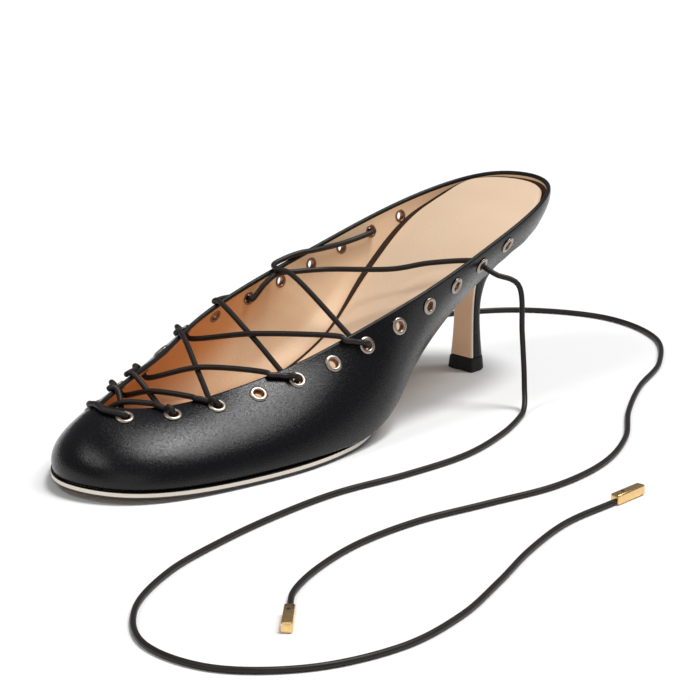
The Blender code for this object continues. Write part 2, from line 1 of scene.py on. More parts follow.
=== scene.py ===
import bmesh
import bpy
import numpy as np
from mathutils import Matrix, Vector


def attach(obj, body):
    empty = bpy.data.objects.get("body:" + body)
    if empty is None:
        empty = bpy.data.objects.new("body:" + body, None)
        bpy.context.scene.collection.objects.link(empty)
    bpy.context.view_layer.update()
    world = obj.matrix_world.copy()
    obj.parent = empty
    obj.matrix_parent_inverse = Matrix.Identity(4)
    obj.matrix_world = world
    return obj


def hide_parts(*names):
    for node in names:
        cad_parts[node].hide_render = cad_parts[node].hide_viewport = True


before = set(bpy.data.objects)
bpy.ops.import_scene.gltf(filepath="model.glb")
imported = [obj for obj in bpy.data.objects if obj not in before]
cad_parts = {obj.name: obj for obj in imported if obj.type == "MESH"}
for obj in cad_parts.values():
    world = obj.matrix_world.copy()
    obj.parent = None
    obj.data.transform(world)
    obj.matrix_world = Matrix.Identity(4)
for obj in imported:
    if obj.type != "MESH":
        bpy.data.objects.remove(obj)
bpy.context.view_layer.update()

# The view: a long lens a little above the floor, on the outer side of the toe, as in the
# photograph. Two lights high behind make one long key, a small one stands over the toe, and a
# broad dim card lights the front.
CAMERA_PLACE = (0.6359, 0.6113, 0.2803)
CAMERA_AIM = (-0.0051, 0.0119, 0.0253)
CAMERA_LENS = 138.7
SENSOR_WIDTH = 36
SKY_COLOUR = (0.98, 0.99, 1.0, 1)
SKY_STRENGTH = 0.2
FLOOR_COLOUR = (0.93, 0.93, 0.93, 1)

camera_data = bpy.data.cameras.new("camera")
camera_data.lens = CAMERA_LENS
camera_data.sensor_width = SENSOR_WIDTH
camera = bpy.data.objects.new("camera", camera_data)
camera.location = CAMERA_PLACE
view_line = Vector(CAMERA_AIM) - Vector(CAMERA_PLACE)
camera.rotation_euler = view_line.to_track_quat("-Z", "Y").to_euler()
bpy.context.scene.collection.objects.link(camera)
bpy.context.scene.camera = camera
bpy.context.scene.view_settings.view_transform = "Standard"

world = bpy.data.worlds.new("studio")
world.use_nodes = True
background = world.node_tree.nodes["Background"]
background.inputs["Color"].default_value = SKY_COLOUR
background.inputs["Strength"].default_value = SKY_STRENGTH
bpy.context.scene.world = world


def distant_light(name, toward, width, strength):
    """A broad light far away in the direction toward, width degrees across."""
    data = bpy.data.lights.new(name, "SUN")
    data.angle = np.radians(width)
    data.energy = strength
    light = bpy.data.objects.new(name, data)
    light.rotation_euler = Vector(toward).to_track_quat("Z", "Y").to_euler()
    bpy.context.scene.collection.objects.link(light)


distant_light("key_inner_end", toward=(-0.25, 0.12, 0.96), width=15, strength=1.8)
distant_light("key_outer_end", toward=(-0.40, 0.36, 0.84), width=20, strength=0.95)
distant_light("toe_side", toward=(0.58, -0.20, 0.79), width=14, strength=0.55)
distant_light("front_card", toward=(0.74, 0.62, 0.26), width=50, strength=0.42)

floor_mesh = bpy.data.meshes.new("floor")
floor_mesh.from_pydata([(-4, -4, 0), (4, -4, 0), (4, 4, 0), (-4, 4, 0)], [], [(0, 1, 2, 3)])
floor = bpy.data.objects.new("floor", floor_mesh)
bpy.context.scene.collection.objects.link(floor)


def new_material(name):
    """A node material with its nodes, its way of linking them and its shader."""
    material = bpy.data.materials.new(name)
    material.use_nodes = True
    nodes = material.node_tree.nodes
    return material, nodes, material.node_tree.links.new, nodes["Principled BSDF"]


floor_paint, _, _, floor_shader = new_material("floor_paint")
floor_shader.inputs["Base Color"].default_value = FLOOR_COLOUR
floor_shader.inputs["Roughness"].default_value = 0.9
floor_shader.inputs["Specular IOR Level"].default_value = 0.1
floor_mesh.materials.append(floor_paint)

# The last: the wooden form that gives the shoe its shape. It is no piece of its own, but the
# upper, insole and sole are all drawn from its sections, measured forward from the back of the
# sole and then moved to the frame.
MM = 0.001
UP = np.array((0.0, 0.0, 1.0))
LAST_ORIGIN = np.array((108.524, 0.541, 0.0)) * MM
SOLE_LENGTH = 220 * MM
HALF_BALL_WIDTH = 38.5 * MM
BACK_HEIGHT = 68 * MM
HEEL_RISE = 53.2 * MM
BALL_BACK = 128 * MM
BALL_FRONT = 166 * MM
TOE_SPRING = 1.6 * MM
SEAT_HEIGHT = 2.9 * MM
WALL = 1.6 * MM

# along, across: edge over the sole in % of SOLE_LENGTH and HALF_BALL_WIDTH. top_along, top_across,
# top_up: the topline, its height in % of BACK_HEIGHT. rise, lean, reach, crown: how the wall leaves
# the sole and meets the topline. sole_edge: how far the outsole stands past the wall, in mm.
SECTION_COLUMNS = ("along", "across", "top_along", "top_across", "top_up",
                   "rise", "lean", "reach", "crown", "sole_edge")
SECTIONS = {
    "toe_tip": (100, -5, 91.2, -11, 36.6, 9, 0.42, 8, -1.5, 0.7),
    "toe_outer": (98.2, 43, 89.8, 4, 35.6, 9, 0.40, 8, -1.2, 0.8),
    "toe_side_outer": (91, 75, 84, 26, 35.3, 9, 0.35, 9, -1.6, 0.9),
    "vamp_outer": (78.6, 93.5, 73.4, 47, 39.7, 10, 0.30, 7, -4, 0.9),
    "ball_outer": (65, 101, 62, 62, 47, 11, 0.28, 5, -6, 0.2),
    "front_waist_outer": (48.6, 88, 48, 73.5, 58.8, 11, 0.30, 3, -8, -3.5),
    "waist_outer": (36.6, 61, 36.4, 80.5, 69.4, 8, 0.50, 1, -7, -6.5),
    "seat_outer": (21.8, 56, 21.4, 76.4, 82.4, 5, 0.60, 1, -4, -6),
    "heel_outer": (10, 60, 8.9, 68.3, 94.4, 3.5, 0.50, 1, -4, -2),
    "back_outer": (2.6, 37.4, 0.7, 40, 99.1, 3.5, 0.50, 1, -4, -2),
    "back": (0, 0, -1.7, 1.5, 100, 3.5, 0.50, 1, -4, -2),
    "back_inner": (2.7, -36.6, 1, -36, 98.4, 3.5, 0.50, 1, -4, -2),
    "heel_inner": (10.2, -61, 9.1, -63, 92.4, 3.5, 0.50, 1, -4, -2),
    "seat_inner": (22, -61.5, 22, -72, 84, 5, 0.50, 1, -4, -6),
    "waist_inner": (37.3, -56, 36.6, -74.5, 73.5, 8, 0.45, 1, -7, -6.5),
    "front_waist_inner": (52.3, -67.5, 50.5, -74, 63.8, 11, 0.30, 3, -8, -4),
    "ball_inner": (71, -96.6, 63.4, -68, 52.4, 12, 0.25, 7, -5, 0.2),
    "vamp_inner": (82, -90, 73.2, -49, 45.6, 10, 0.30, 5, -6.2, 0.9),
    "toe_side_inner": (91, -67, 83.2, -31, 41.2, 9, 0.35, 5, -5.6, 0.9),
    "toe_inner": (96.8, -38.5, 89, -21, 37.2, 9, 0.40, 6, -4, 0.8),
}


def rise(x):
    """Height of the last's bottom: flat under the ball, an S up to the heel, slight toe spring."""
    back = np.clip((BALL_BACK - x) / BALL_BACK, 0, None)
    front = np.clip((x - BALL_FRONT) / (SOLE_LENGTH - BALL_FRONT), 0, None)
    return SEAT_HEIGHT + HEEL_RISE * (3 * back**2 - 2 * back**3) + TOE_SPRING * front**2


def ease(x, start, end):
    """0 before start, 1 after end, with a smooth S between them."""
    t = np.clip((x - start) / (end - start), 0, 1)
    return t * t * (3 - 2 * t)


def unit(v):
    """The vectors of an array, each divided by its length."""
    return v / np.linalg.norm(v, axis=-1, keepdims=True)


def closed_curve(rows, steps):
    """Periodic cubic spline through the rows: second derivatives from the tridiagonal system, then
    each span read at even steps. Spans are the root of the distance between sole points."""
    count = len(rows)
    span = np.sqrt(np.linalg.norm(np.roll(rows[:, :2], -1, 0) - rows[:, :2], axis=1))
    before = np.roll(span, 1)
    system = np.zeros((count, count))
    index = np.arange(count)
    system[index, index] = 2 * (before + span)
    system[index, index - 1] = before
    system[index, (index + 1) % count] = span
    slope = (np.roll(rows, -1, 0) - rows) / span[:, None]
    bend = np.linalg.solve(system, 6 * (slope - np.roll(slope, 1, 0)))
    t = np.linspace(0, 1, steps, endpoint=False)[None, :, None]
    curve = rows[:, None] * (1 - t) + np.roll(rows, -1, 0)[:, None] * t
    pull = ((1 - t) ** 3 - (1 - t)) * bend[:, None] + (t**3 - t) * np.roll(bend, -1, 0)[:, None]
    return (curve + pull * (span**2)[:, None, None] / 6).reshape(count * steps, -1)


SECTION_STEPS = 24
section_rows = np.array(list(SECTIONS.values()), float)
section_scale = np.full(len(SECTION_COLUMNS), MM)
for name, scale in (("along", SOLE_LENGTH / 100), ("top_along", SOLE_LENGTH / 100), ("lean", 1),
                    ("across", HALF_BALL_WIDTH / 100), ("top_across", HALF_BALL_WIDTH / 100),
                    ("top_up", BACK_HEIGHT / 100)):
    section_scale[SECTION_COLUMNS.index(name)] = scale
section_ring = closed_curve(section_rows * section_scale, SECTION_STEPS)
size = {name: section_ring[:, k : k + 1] for k, name in enumerate(SECTION_COLUMNS)}
edge = np.hstack((size["along"], size["across"], rise(size["along"])))
top = np.hstack((size["top_along"], size["top_across"], size["top_up"]))
ahead = np.roll(edge, -1, 0) - np.roll(edge, 1, 0)
out = unit(np.column_stack((-ahead[:, 1], ahead[:, 0], np.zeros(len(ahead)))))
out *= np.sign(np.sum(out * (edge - edge.mean(0))))
low_handle = edge + (out * size["lean"] + UP) * size["rise"]
high_handle = top + out * size["reach"] + UP * size["crown"]


def wall(v):
    """Outer face of the last at shares v of each section: a cubic from sole edge to topline."""
    v = np.asarray(v)[..., None]
    low, high = low_handle[:, None], high_handle[:, None]
    start, end = edge[:, None], top[:, None]
    rest = 1 - v
    return start * rest**3 + 3 * low * rest**2 * v + 3 * high * rest * v**2 + end * v**3


def facing(grid):
    """Outward normals of a grid round the last and up its wall: cross product of its slopes."""
    across = np.roll(grid, -1, 0) - np.roll(grid, 1, 0)
    normal = unit(np.cross(across, np.gradient(grid, axis=1)))
    return normal * np.sign(np.sum(normal * out[:, None]))


FINE_SHARES = np.linspace(1, 0, 161)
fine_wall = wall(FINE_SHARES[None])
fine_normal = facing(fine_wall)
fine_step = np.diff(fine_wall, axis=1, prepend=fine_wall[:, :1])
fine_run = np.cumsum(np.linalg.norm(fine_step, axis=2), axis=1)


def below_top(drop):
    """Points, normals and shares on the wall's outer face, this far below the topline along each
    section: linear between the two nearest of the fine levels."""
    pick = np.argmax(fine_run >= drop, axis=1)
    row = np.arange(len(edge))
    above, below = fine_run[row, pick - 1], fine_run[row, pick]
    t = ((drop - above) / (below - above))[:, None]
    point = fine_wall[row, pick - 1] * (1 - t) + fine_wall[row, pick] * t
    normal = unit(fine_normal[row, pick - 1] * (1 - t) + fine_normal[row, pick] * t)
    return point, normal, FINE_SHARES[pick - 1] * (1 - t[:, 0]) + FINE_SHARES[pick] * t[:, 0]


# Upper: one piece of black calf over a tan lining, lasted so that its edge turns in under the
# insole. The leather is folded over the topline and shows as a narrow band inside, and holes are
# punched below it for the eyelets. Below the topline near the toe the lining is painted a deeper
# amber as painted shade, and below the insole's edge it is painted dark brown as the shadow of the
# gap there.
EYELETS = 12
EYELET_FIRST = {"outer": 12.6 * MM, "inner": 10 * MM}
EYELET_STEP = 15.4 * MM
EYELET_DROP = 5.8 * MM
HOLE_RADIUS = 2.3 * MM
MARGIN = 5 * MM
CORNER = 0.9 * MM
FOLD_INSIDE = 0.5 * MM
ARCH_SWELL = 3.4 * MM
ARCH_PLACES = (58 * MM, 86 * MM, 104 * MM, 130 * MM)
# Insole's edge over the last's bottom in mm: in front, and what the seat and the back add
FRONT_RIM, SEAT_PAD, BACK_PAD = 4.2, 3.0, 2.5
SEAT_PAD_FADES = (30 * MM, 90 * MM)
BACK_END = (8 * MM, 26 * MM)
# Top of the painted gap shadow on the lining, below the insole's edge in mm: at the back, and what
# is added elsewhere
GAP_SHADOW_DROP, GAP_SHADOW_DROP_MORE = 0.3, 0.9
LOWEST_SHARE = 0.03
WALL_LEVELS = 38
LOW_LEVELS = 6
FOLD_LEVELS = 3
RIM_LEVELS = 7
HOLE_SIDES = 24
PUNCH_REACH = 4 * MM
DOUBLES = 2e-6
SLIVERS = 1e-7
GRAIN_DEPTH = 0.2 * MM
# Painted shade: amber mixed into the lining below the topline, reaching deepest towards the toe
PAINTED_SHADE_LINING = (0.77, 0.34, 0.115)
CALF_SLOT, LINING_SLOT, GAP_SHADOW_SLOT, FOLD_SLOT = range(4)


def closed_grid(name, grid, materials, slots=None, wrap=True):
    """A mesh object from a grid of points that is closed along its first index, and along its
    second if wrap. slots gives the material number of each band of faces along the second."""
    around, along = grid.shape[:2]
    number = np.arange(around * along).reshape(around, along)
    right = np.roll(number, -1, 0)
    upper, upper_right = np.roll(number, -1, 1), np.roll(right, -1, 1)
    quads = np.stack((number, right, upper_right, upper), -1)
    if not wrap:
        quads = quads[:, :-1]
    mesh = bpy.data.meshes.new(name)
    points = (grid.reshape(-1, 3) - LAST_ORIGIN).tolist()
    mesh.from_pydata(points, [], quads.reshape(-1, 4).tolist())
    for material in materials:
        mesh.materials.append(material)
    if slots is not None:
        mesh.polygons.foreach_set("material_index", np.tile(slots, around).astype(np.int32))
    mesh.shade_smooth()
    piece = bpy.data.objects.new(name, mesh)
    bpy.context.scene.collection.objects.link(piece)
    return piece


def close_up(piece, sharp=None):
    """Merges the doubled points of seams and poles, turns the faces outwards, and marks edges
    sharper than an angle in degrees."""
    work = bmesh.new()
    work.from_mesh(piece.data)
    bmesh.ops.remove_doubles(work, verts=work.verts, dist=DOUBLES)
    bmesh.ops.dissolve_degenerate(work, dist=SLIVERS, edges=work.edges)
    bmesh.ops.recalc_face_normals(work, faces=work.faces)
    work.to_mesh(piece.data)
    work.free()
    if sharp is not None:
        piece.data.set_sharp_from_angle(angle=np.radians(sharp))


def sock_rim(x):
    """Height of the insole's edge over the last's bottom: low in front, higher at the seat and
    highest at the back, with an S between them."""
    seat = 1 - ease(x, *SEAT_PAD_FADES)
    back = 1 - ease(x, *BACK_END)
    return (FRONT_RIM + SEAT_PAD * seat + BACK_PAD * back) * MM


def between(low, high, steps):
    """Shares of the wall at even steps from low up to high, without low itself."""
    return low[:, None] + (high - low)[:, None] * np.linspace(0, 1, steps + 1)[None, 1:]


def stretch_of(x, places):
    """1 between the middle two of four places, 0 outside them all, with an S up and an S down."""
    start, full, fading, end = places
    return ease(x, start, full) * (1 - ease(x, fading, end))


def add_node(nodes, kind, **inputs):
    """A shader node of a kind, its inputs set by name, with _ for a space."""
    node = nodes.new(f"ShaderNode{kind}")
    for name, value in inputs.items():
        node.inputs[name.replace("_", " ")].default_value = value
    return node


def colour_mix(nodes, first, second):
    """A node that goes from the first colour to the second as its factor rises to 1."""
    mix = add_node(nodes, "Mix")
    mix.data_type = "RGBA"
    mix.inputs["A"].default_value = (*first, 1)
    mix.inputs["B"].default_value = (*second, 1)
    return mix


def grain_group():
    """Leather grain: small rounded cells with fine noise over them. Gives a height, and from 0 to 1
    a tone that changes by patches and a speckle of about a millimetre."""
    group = bpy.data.node_groups.new("leather_grain", "ShaderNodeTree")
    for name, way in (("Cell Scale", "INPUT"), ("Patch Scale", "INPUT"), ("Height", "OUTPUT"),
                      ("Tone", "OUTPUT"), ("Speckle", "OUTPUT")):
        group.interface.new_socket(name, in_out=way, socket_type="NodeSocketFloat")
    nodes, link = group.nodes, group.links.new
    entry, leave = nodes.new("NodeGroupInput"), nodes.new("NodeGroupOutput")
    place = add_node(nodes, "TexCoord")
    cells = add_node(nodes, "TexVoronoi")
    cells.feature = "SMOOTH_F1"
    cells.inputs["Smoothness"].default_value = 0.6
    fine = add_node(nodes, "TexNoise", Scale=2600, Detail=4)
    patch = add_node(nodes, "TexNoise", Detail=3)
    speckle = add_node(nodes, "TexNoise", Scale=1200, Detail=2)
    mix = add_node(nodes, "Math")
    mix.operation = "MULTIPLY_ADD"
    mix.inputs[1].default_value = 0.9
    for texture in (cells, fine, patch, speckle):
        link(place.outputs["Object"], texture.inputs["Vector"])
    link(entry.outputs["Cell Scale"], cells.inputs["Scale"])
    link(entry.outputs["Patch Scale"], patch.inputs["Scale"])
    link(fine.outputs["Fac"], mix.inputs[0])
    link(cells.outputs["Distance"], mix.inputs[2])
    link(mix.outputs["Value"], leave.inputs["Height"])
    link(patch.outputs["Fac"], leave.inputs["Tone"])
    link(speckle.outputs["Fac"], leave.inputs["Speckle"])
    return group


LEATHER_GRAIN = grain_group()


def leather(name, dark, light, roughness, cell_scale, patch_scale, bump, specular=0.5):
    """Leather whose colour goes from dark to light by patches, with a grain bump and a speckled
    gloss."""
    material, nodes, link, shader = new_material(name)
    shader.inputs["Specular IOR Level"].default_value = specular
    grain = add_node(nodes, "Group")
    grain.node_tree = LEATHER_GRAIN
    grain.inputs["Cell Scale"].default_value = cell_scale
    grain.inputs["Patch Scale"].default_value = patch_scale
    colour = colour_mix(nodes, dark, light)
    gloss = add_node(nodes, "MapRange", From_Min=0.3, From_Max=0.7,
                     To_Min=roughness - 0.07, To_Max=roughness + 0.07)
    relief = add_node(nodes, "Bump", Strength=bump, Distance=GRAIN_DEPTH)
    link(grain.outputs["Tone"], colour.inputs["Factor"])
    link(colour.outputs["Result"], shader.inputs["Base Color"])
    link(grain.outputs["Speckle"], gloss.inputs["Value"])
    link(gloss.outputs["Result"], shader.inputs["Roughness"])
    link(grain.outputs["Height"], relief.inputs["Height"])
    link(relief.outputs["Normal"], shader.inputs["Normal"])
    return material


def set_attribute(mesh, name, values):
    """Gives each point of a mesh a number under a name."""
    mesh.attributes.new(name, "FLOAT", "POINT").data.foreach_set("value", values)


def mix_by_attribute(material, attribute, colour):
    """Mixes another colour into a material's own where the mesh's attribute rises to 1."""
    nodes, link = material.node_tree.nodes, material.node_tree.links.new
    shader = nodes["Principled BSDF"]
    share = add_node(nodes, "Attribute")
    share.attribute_name = attribute
    mix = colour_mix(nodes, colour, colour)
    link(share.outputs["Fac"], mix.inputs["Factor"])
    link(shader.inputs["Base Color"].links[0].from_socket, mix.inputs["A"])
    link(mix.outputs["Result"], shader.inputs["Base Color"])


black_leather = leather(
    "black_calf", (0.003, 0.003, 0.004), (0.005, 0.005, 0.006),
    roughness=0.25, cell_scale=3000, patch_scale=60, bump=0.26, specular=0.29)
tan_lining = leather(
    "tan_lining", (0.86, 0.605, 0.385), (0.93, 0.70, 0.485),
    roughness=0.5, cell_scale=1800, patch_scale=40, bump=0.25, specular=0.4)
# Painted shadow: dark brown on the lining below the insole's edge, standing for the gap between
# sock and wall
painted_gap_shadow = leather(
    "painted_gap_shadow", (0.05, 0.03, 0.02), (0.08, 0.05, 0.033),
    roughness=0.85, cell_scale=1400, patch_scale=60, bump=0.4, specular=0.1)
folded_edge = leather(
    "folded_edge", (0.004, 0.0035, 0.0035), (0.007, 0.006, 0.006),
    roughness=0.42, cell_scale=2200, patch_scale=60, bump=0.10, specular=0.25)
# The lining takes the painted shade in amber below the topline near the toe
mix_by_attribute(tan_lining, "painted_shade_share", PAINTED_SHADE_LINING)

outer_lift = fine_wall[:, ::-1, 2] - edge[:, None, 2]
rim_share = below_top(WALL / 2)[2]
fold_share = below_top(WALL / 2 + FOLD_INSIDE)[2]
shadow_paint_drop = GAP_SHADOW_DROP + GAP_SHADOW_DROP_MORE * ease(edge[:, 0], *BACK_END)
sock_level = sock_rim(edge[:, 0]) - shadow_paint_drop * MM
sock_share = np.array([np.interp(level, lift, FINE_SHARES[::-1])
                       for level, lift in zip(sock_level, outer_lift)])
low_part = LOWEST_SHARE + (sock_share[:, None] - LOWEST_SHARE) * np.linspace(0, 1, LOW_LEVELS)
middle_part = between(sock_share, fold_share, WALL_LEVELS - LOW_LEVELS - FOLD_LEVELS)
fold_part = between(fold_share, rim_share, FOLD_LEVELS)
wall_face = wall(np.hstack((low_part, middle_part, fold_part)))
levels = wall_face.shape[1]
wall_normal = facing(wall_face)
lining_face = wall_face - wall_normal * WALL
arch_swell = ARCH_SWELL * stretch_of(edge[:, 0], ARCH_PLACES)
arch_swell = (arch_swell * (edge[:, 1] < 0))[:, None]
over_sock = lining_face[..., 2] - edge[:, 2:] - sock_rim(edge[:, :1])
swell_share = 1 - ease(over_sock, -0.5 * MM, 6 * MM)
lining_face -= out[:, None] * (arch_swell * swell_share)[..., None]
rim_turn = np.linspace(0, np.pi, RIM_LEVELS + 2)[1:-1][None, :, None]
rim_up = unit(wall_face[:, -1] - wall_face[:, -2])[:, None]
rim_middle = (wall_face[:, -1:] + lining_face[:, -1:]) / 2
rim = rim_middle + WALL / 2 * (np.cos(rim_turn) * wall_normal[:, -1:] + np.sin(rim_turn) * rim_up)
under = edge - out * CORNER
turned_in = edge - out * (MARGIN + arch_swell)
for line in (under, turned_in):
    line[:, 2] = rise(line[:, 0])
lining_low = np.stack((edge - out * (WALL + arch_swell) + UP * WALL, turned_in + UP * WALL), 1)
upper_grid = np.concatenate(
    (turned_in[:, None], under[:, None], wall_face, rim, lining_face[:, ::-1], lining_low), 1)
lining_start = 2 + levels + RIM_LEVELS + FOLD_LEVELS
upper_slots = np.full(upper_grid.shape[1], CALF_SLOT)
upper_slots[lining_start:] = LINING_SLOT
# The lining below the insole's edge and the turned-in margin take the painted gap shadow
upper_slots[2 + levels + RIM_LEVELS + levels - LOW_LEVELS :] = GAP_SHADOW_SLOT
upper_slots[1 + levels : lining_start] = FOLD_SLOT
upper_leathers = (black_leather, tan_lining, painted_gap_shadow, folded_edge)
upper = closed_grid("upper_leather", upper_grid, upper_leathers, upper_slots)
close_up(upper)


def run_along(line):
    """Length along a line of points, from 0 at its first."""
    return np.concatenate(([0], np.cumsum(np.linalg.norm(np.diff(line, axis=0), axis=1))))


def along_row(side, numbers, drop=EYELET_DROP):
    """Points this far below the topline, their outward normals and the topline points, at eyelet
    numbers, whole or between two: the length of the eyelet line gives the section, and the section
    gives the point."""
    order, start = (1, 0) if side == "outer" else (-1, 1)
    row = np.roll(below_top(EYELET_DROP)[0][::order], start, axis=0)
    run = run_along(row)
    sections = np.arange(len(run))
    there = EYELET_FIRST[side] + EYELET_STEP * (np.asarray(numbers) - 1)
    section = np.interp(there, run, sections)
    lines = [np.roll(data[::order], start, axis=0) for data in (*below_top(drop)[:2], top)]
    point, normal, rim = (
        np.column_stack([np.interp(section, sections, line[:, k]) for k in range(3)])
        for line in lines)
    return point, unit(normal), rim


def turned(profile, sides, centre, axis):
    """Grid of a profile of (radius, height) rows turned about an axis through centre."""
    side = unit(np.cross(axis, UP))
    other = np.cross(axis, side)
    angle = np.linspace(0, 2 * np.pi, sides, endpoint=False)[:, None, None]
    round_about = np.cos(angle) * side + np.sin(angle) * other
    profile = np.array(profile)
    return centre + round_about * profile[None, :, :1] + axis * profile[None, :, 1:]


NUMBERS = range(1, EYELETS + 1)
PLACES = {(side, number): place for side in ("outer", "inner")
          for number, place in zip(NUMBERS, zip(*along_row(side, NUMBERS)))}
punch_mesh = bpy.data.meshes.new("punch")
punch_points, punch_faces = [], []
for centre, axis, _ in PLACES.values():
    bore = ((HOLE_RADIUS, -PUNCH_REACH), (HOLE_RADIUS, PUNCH_REACH))
    ring = turned(bore, HOLE_SIDES, centre, axis)
    first = len(punch_points)
    punch_points += (ring.reshape(-1, 3) - LAST_ORIGIN).tolist()
    low = first + 2 * np.arange(HOLE_SIDES)
    after = np.roll(low, -1)
    punch_faces += np.column_stack((low, low + 1, after + 1, after)).tolist()
    punch_faces += [low.tolist(), (low + 1)[::-1].tolist()]
punch_mesh.from_pydata(punch_points, [], punch_faces)
punch = bpy.data.objects.new("punch", punch_mesh)
bpy.context.scene.collection.objects.link(punch)
close_up(punch)
holes = upper.modifiers.new("holes", "BOOLEAN")
holes.operation = "DIFFERENCE"
holes.object = punch
graph = bpy.context.evaluated_depsgraph_get()
pierced = bpy.data.meshes.new_from_object(upper.evaluated_get(graph))
upper.modifiers.clear()
upper.data = pierced
pierced.set_sharp_from_angle(angle=np.radians(50))
upper_points = np.array([vertex.co for vertex in pierced.vertices]) + LAST_ORIGIN
upper_x, upper_y, upper_z = upper_points.T

# Painted shade on the lining, in amber: full just below the topline and fading with depth, later
# towards the toe
rim_lines = [line[np.argsort(line[:, 0])] for line in (top[top[:, 1] < 0], top[top[:, 1] >= 0])]
rim_heights = [np.interp(upper_x, line[:, 0], line[:, 2]) for line in rim_lines]
below_rim = np.where(upper_y < 0, *rim_heights) - upper_z
shade_paint_reach = ease(upper_x, 100 * MM, 150 * MM)
shade_paint = 1 - ease(below_rim, (7 + 9 * shade_paint_reach) * MM, (20 + 14 * shade_paint_reach) * MM)
set_attribute(pierced, "painted_shade_share", 0.95 * ease(upper_x, 80 * MM, 125 * MM) * shade_paint)
bpy.data.objects.remove(punch, do_unlink=True)
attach(upper, "root")
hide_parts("upper")

# Insole: a board under a beige leather sock, glued on top of the turned-in margin. A foam pad
# under the sock fills the shallow heel nearly to the topline. The sock stands off the inner waist
# and the back, where a dark gap shows, and it has puckered a little beside the outer wall. Towards
# the toe the sock is painted amber as painted shade under the vamp.
INSOLE_GAP = 0.5 * MM
PAD_CROWN = 3.2 * MM
EDGE_ROUND = 0.9 * MM
WAIST_GAP = 2.3 * MM
WAIST_GAP_PLACES = (6 * MM, 20 * MM, 50 * MM, 96 * MM)
BACK_GAP = 1.3 * MM
LEAST_CROWN = 0.2 * MM
# Painted shade: amber mixed into the sock towards the toe, where it lies under the vamp
PAINTED_SHADE_SOCK = (0.66, 0.38, 0.19)
PLATE_STATIONS = 190
SOCK_ENDS = 18 * MM
# Puckers of the sock in mm: start x and y, end x and y, depth, half width
PUCKERS = (
    (61, 1, 51, 16, 0.55, 2.4),
    (70, 0, 60, 14, 0.55, 2.6),
    (77, -3, 66, 8, 0.40, 2.8),
    (89, 4, 78, 18, 0.40, 3.0),
    (33, 3, 25, 14, 0.20, 3.0),
)

beige_sock = leather(
    "beige_sock", (0.72, 0.52, 0.36), (0.80, 0.60, 0.43),
    roughness=0.55, cell_scale=1700, patch_scale=25, bump=0.25, specular=0.35)
mix_by_attribute(beige_sock, "painted_shade_share", PAINTED_SHADE_SOCK)


def even_outline(line, stations):
    """A closed outline read at the same x on both sides: round the outer side from the front to the
    back, then the inner side forward. x follows a cosine, so that it is closest at the two ends."""
    line = np.roll(line, -np.argmax(line[:, 0]), axis=0)
    back = np.argmin(line[:, 0])
    first, second = line[: back + 1], np.vstack((line[back:], line[:1]))
    cosine = np.cos(np.linspace(0, np.pi, stations))
    x = line[0, 0] + (line[back, 0] - line[0, 0]) * (1 - cosine) / 2
    there = np.interp(x, first[::-1, 0], first[::-1, 1])
    home = np.interp(x, second[:, 0], second[:, 1])
    both_x, both_y = np.concatenate((x, x[-2:0:-1])), np.concatenate((there, home[-2:0:-1]))
    return np.column_stack((both_x, both_y)), (there + home) / 2


def plate(line, stations, ends, shares):
    """Plan of a plate as a grid: from its middle line, stopped short of both ends, out to its
    outline by shares."""
    outline, middle = even_outline(line, stations)
    x = outline[:stations, 0]
    spine_x = np.clip(outline[:, 0], x[-1] + ends, x[0] - ends)
    spine = np.column_stack((spine_x, np.interp(spine_x, x[::-1], middle[::-1])))
    flat = spine[:, None] + (outline - spine)[:, None] * np.asarray(shares)[None, :, None]
    return np.concatenate((flat, np.zeros((*flat.shape[:2], 1))), 2)


side_height = lining_face[:, :, 2] - edge[:, None, 2]
side_reach = np.sum((lining_face - edge[:, None]) * out[:, None], axis=2)
probe = np.linspace(WALL + 0.2 * MM, 5.4 * MM, 6)
narrow = np.array([np.interp(probe, h, r).min() for h, r in zip(side_height, side_reach)])
along_edge = edge[:, 0]
flare = np.array([np.interp(level, h, r)
                  for level, h, r in zip(sock_rim(along_edge), side_height, side_reach)])
wide = narrow + np.maximum(flare - narrow, 0) * (1 - ease(along_edge, 70 * MM, 105 * MM))
inner_waist = stretch_of(along_edge, WAIST_GAP_PLACES) * (edge[:, 1] < 0)
back_end = 1 - ease(along_edge, 5 * MM, (24 + 10 * (edge[:, 1] > 0)) * MM)
sock_width = wide - INSOLE_GAP - WAIST_GAP * inner_waist - BACK_GAP * back_end
sock_line = edge + out * sock_width[:, None]
sock_low_line = edge + out * (narrow - INSOLE_GAP)[:, None]

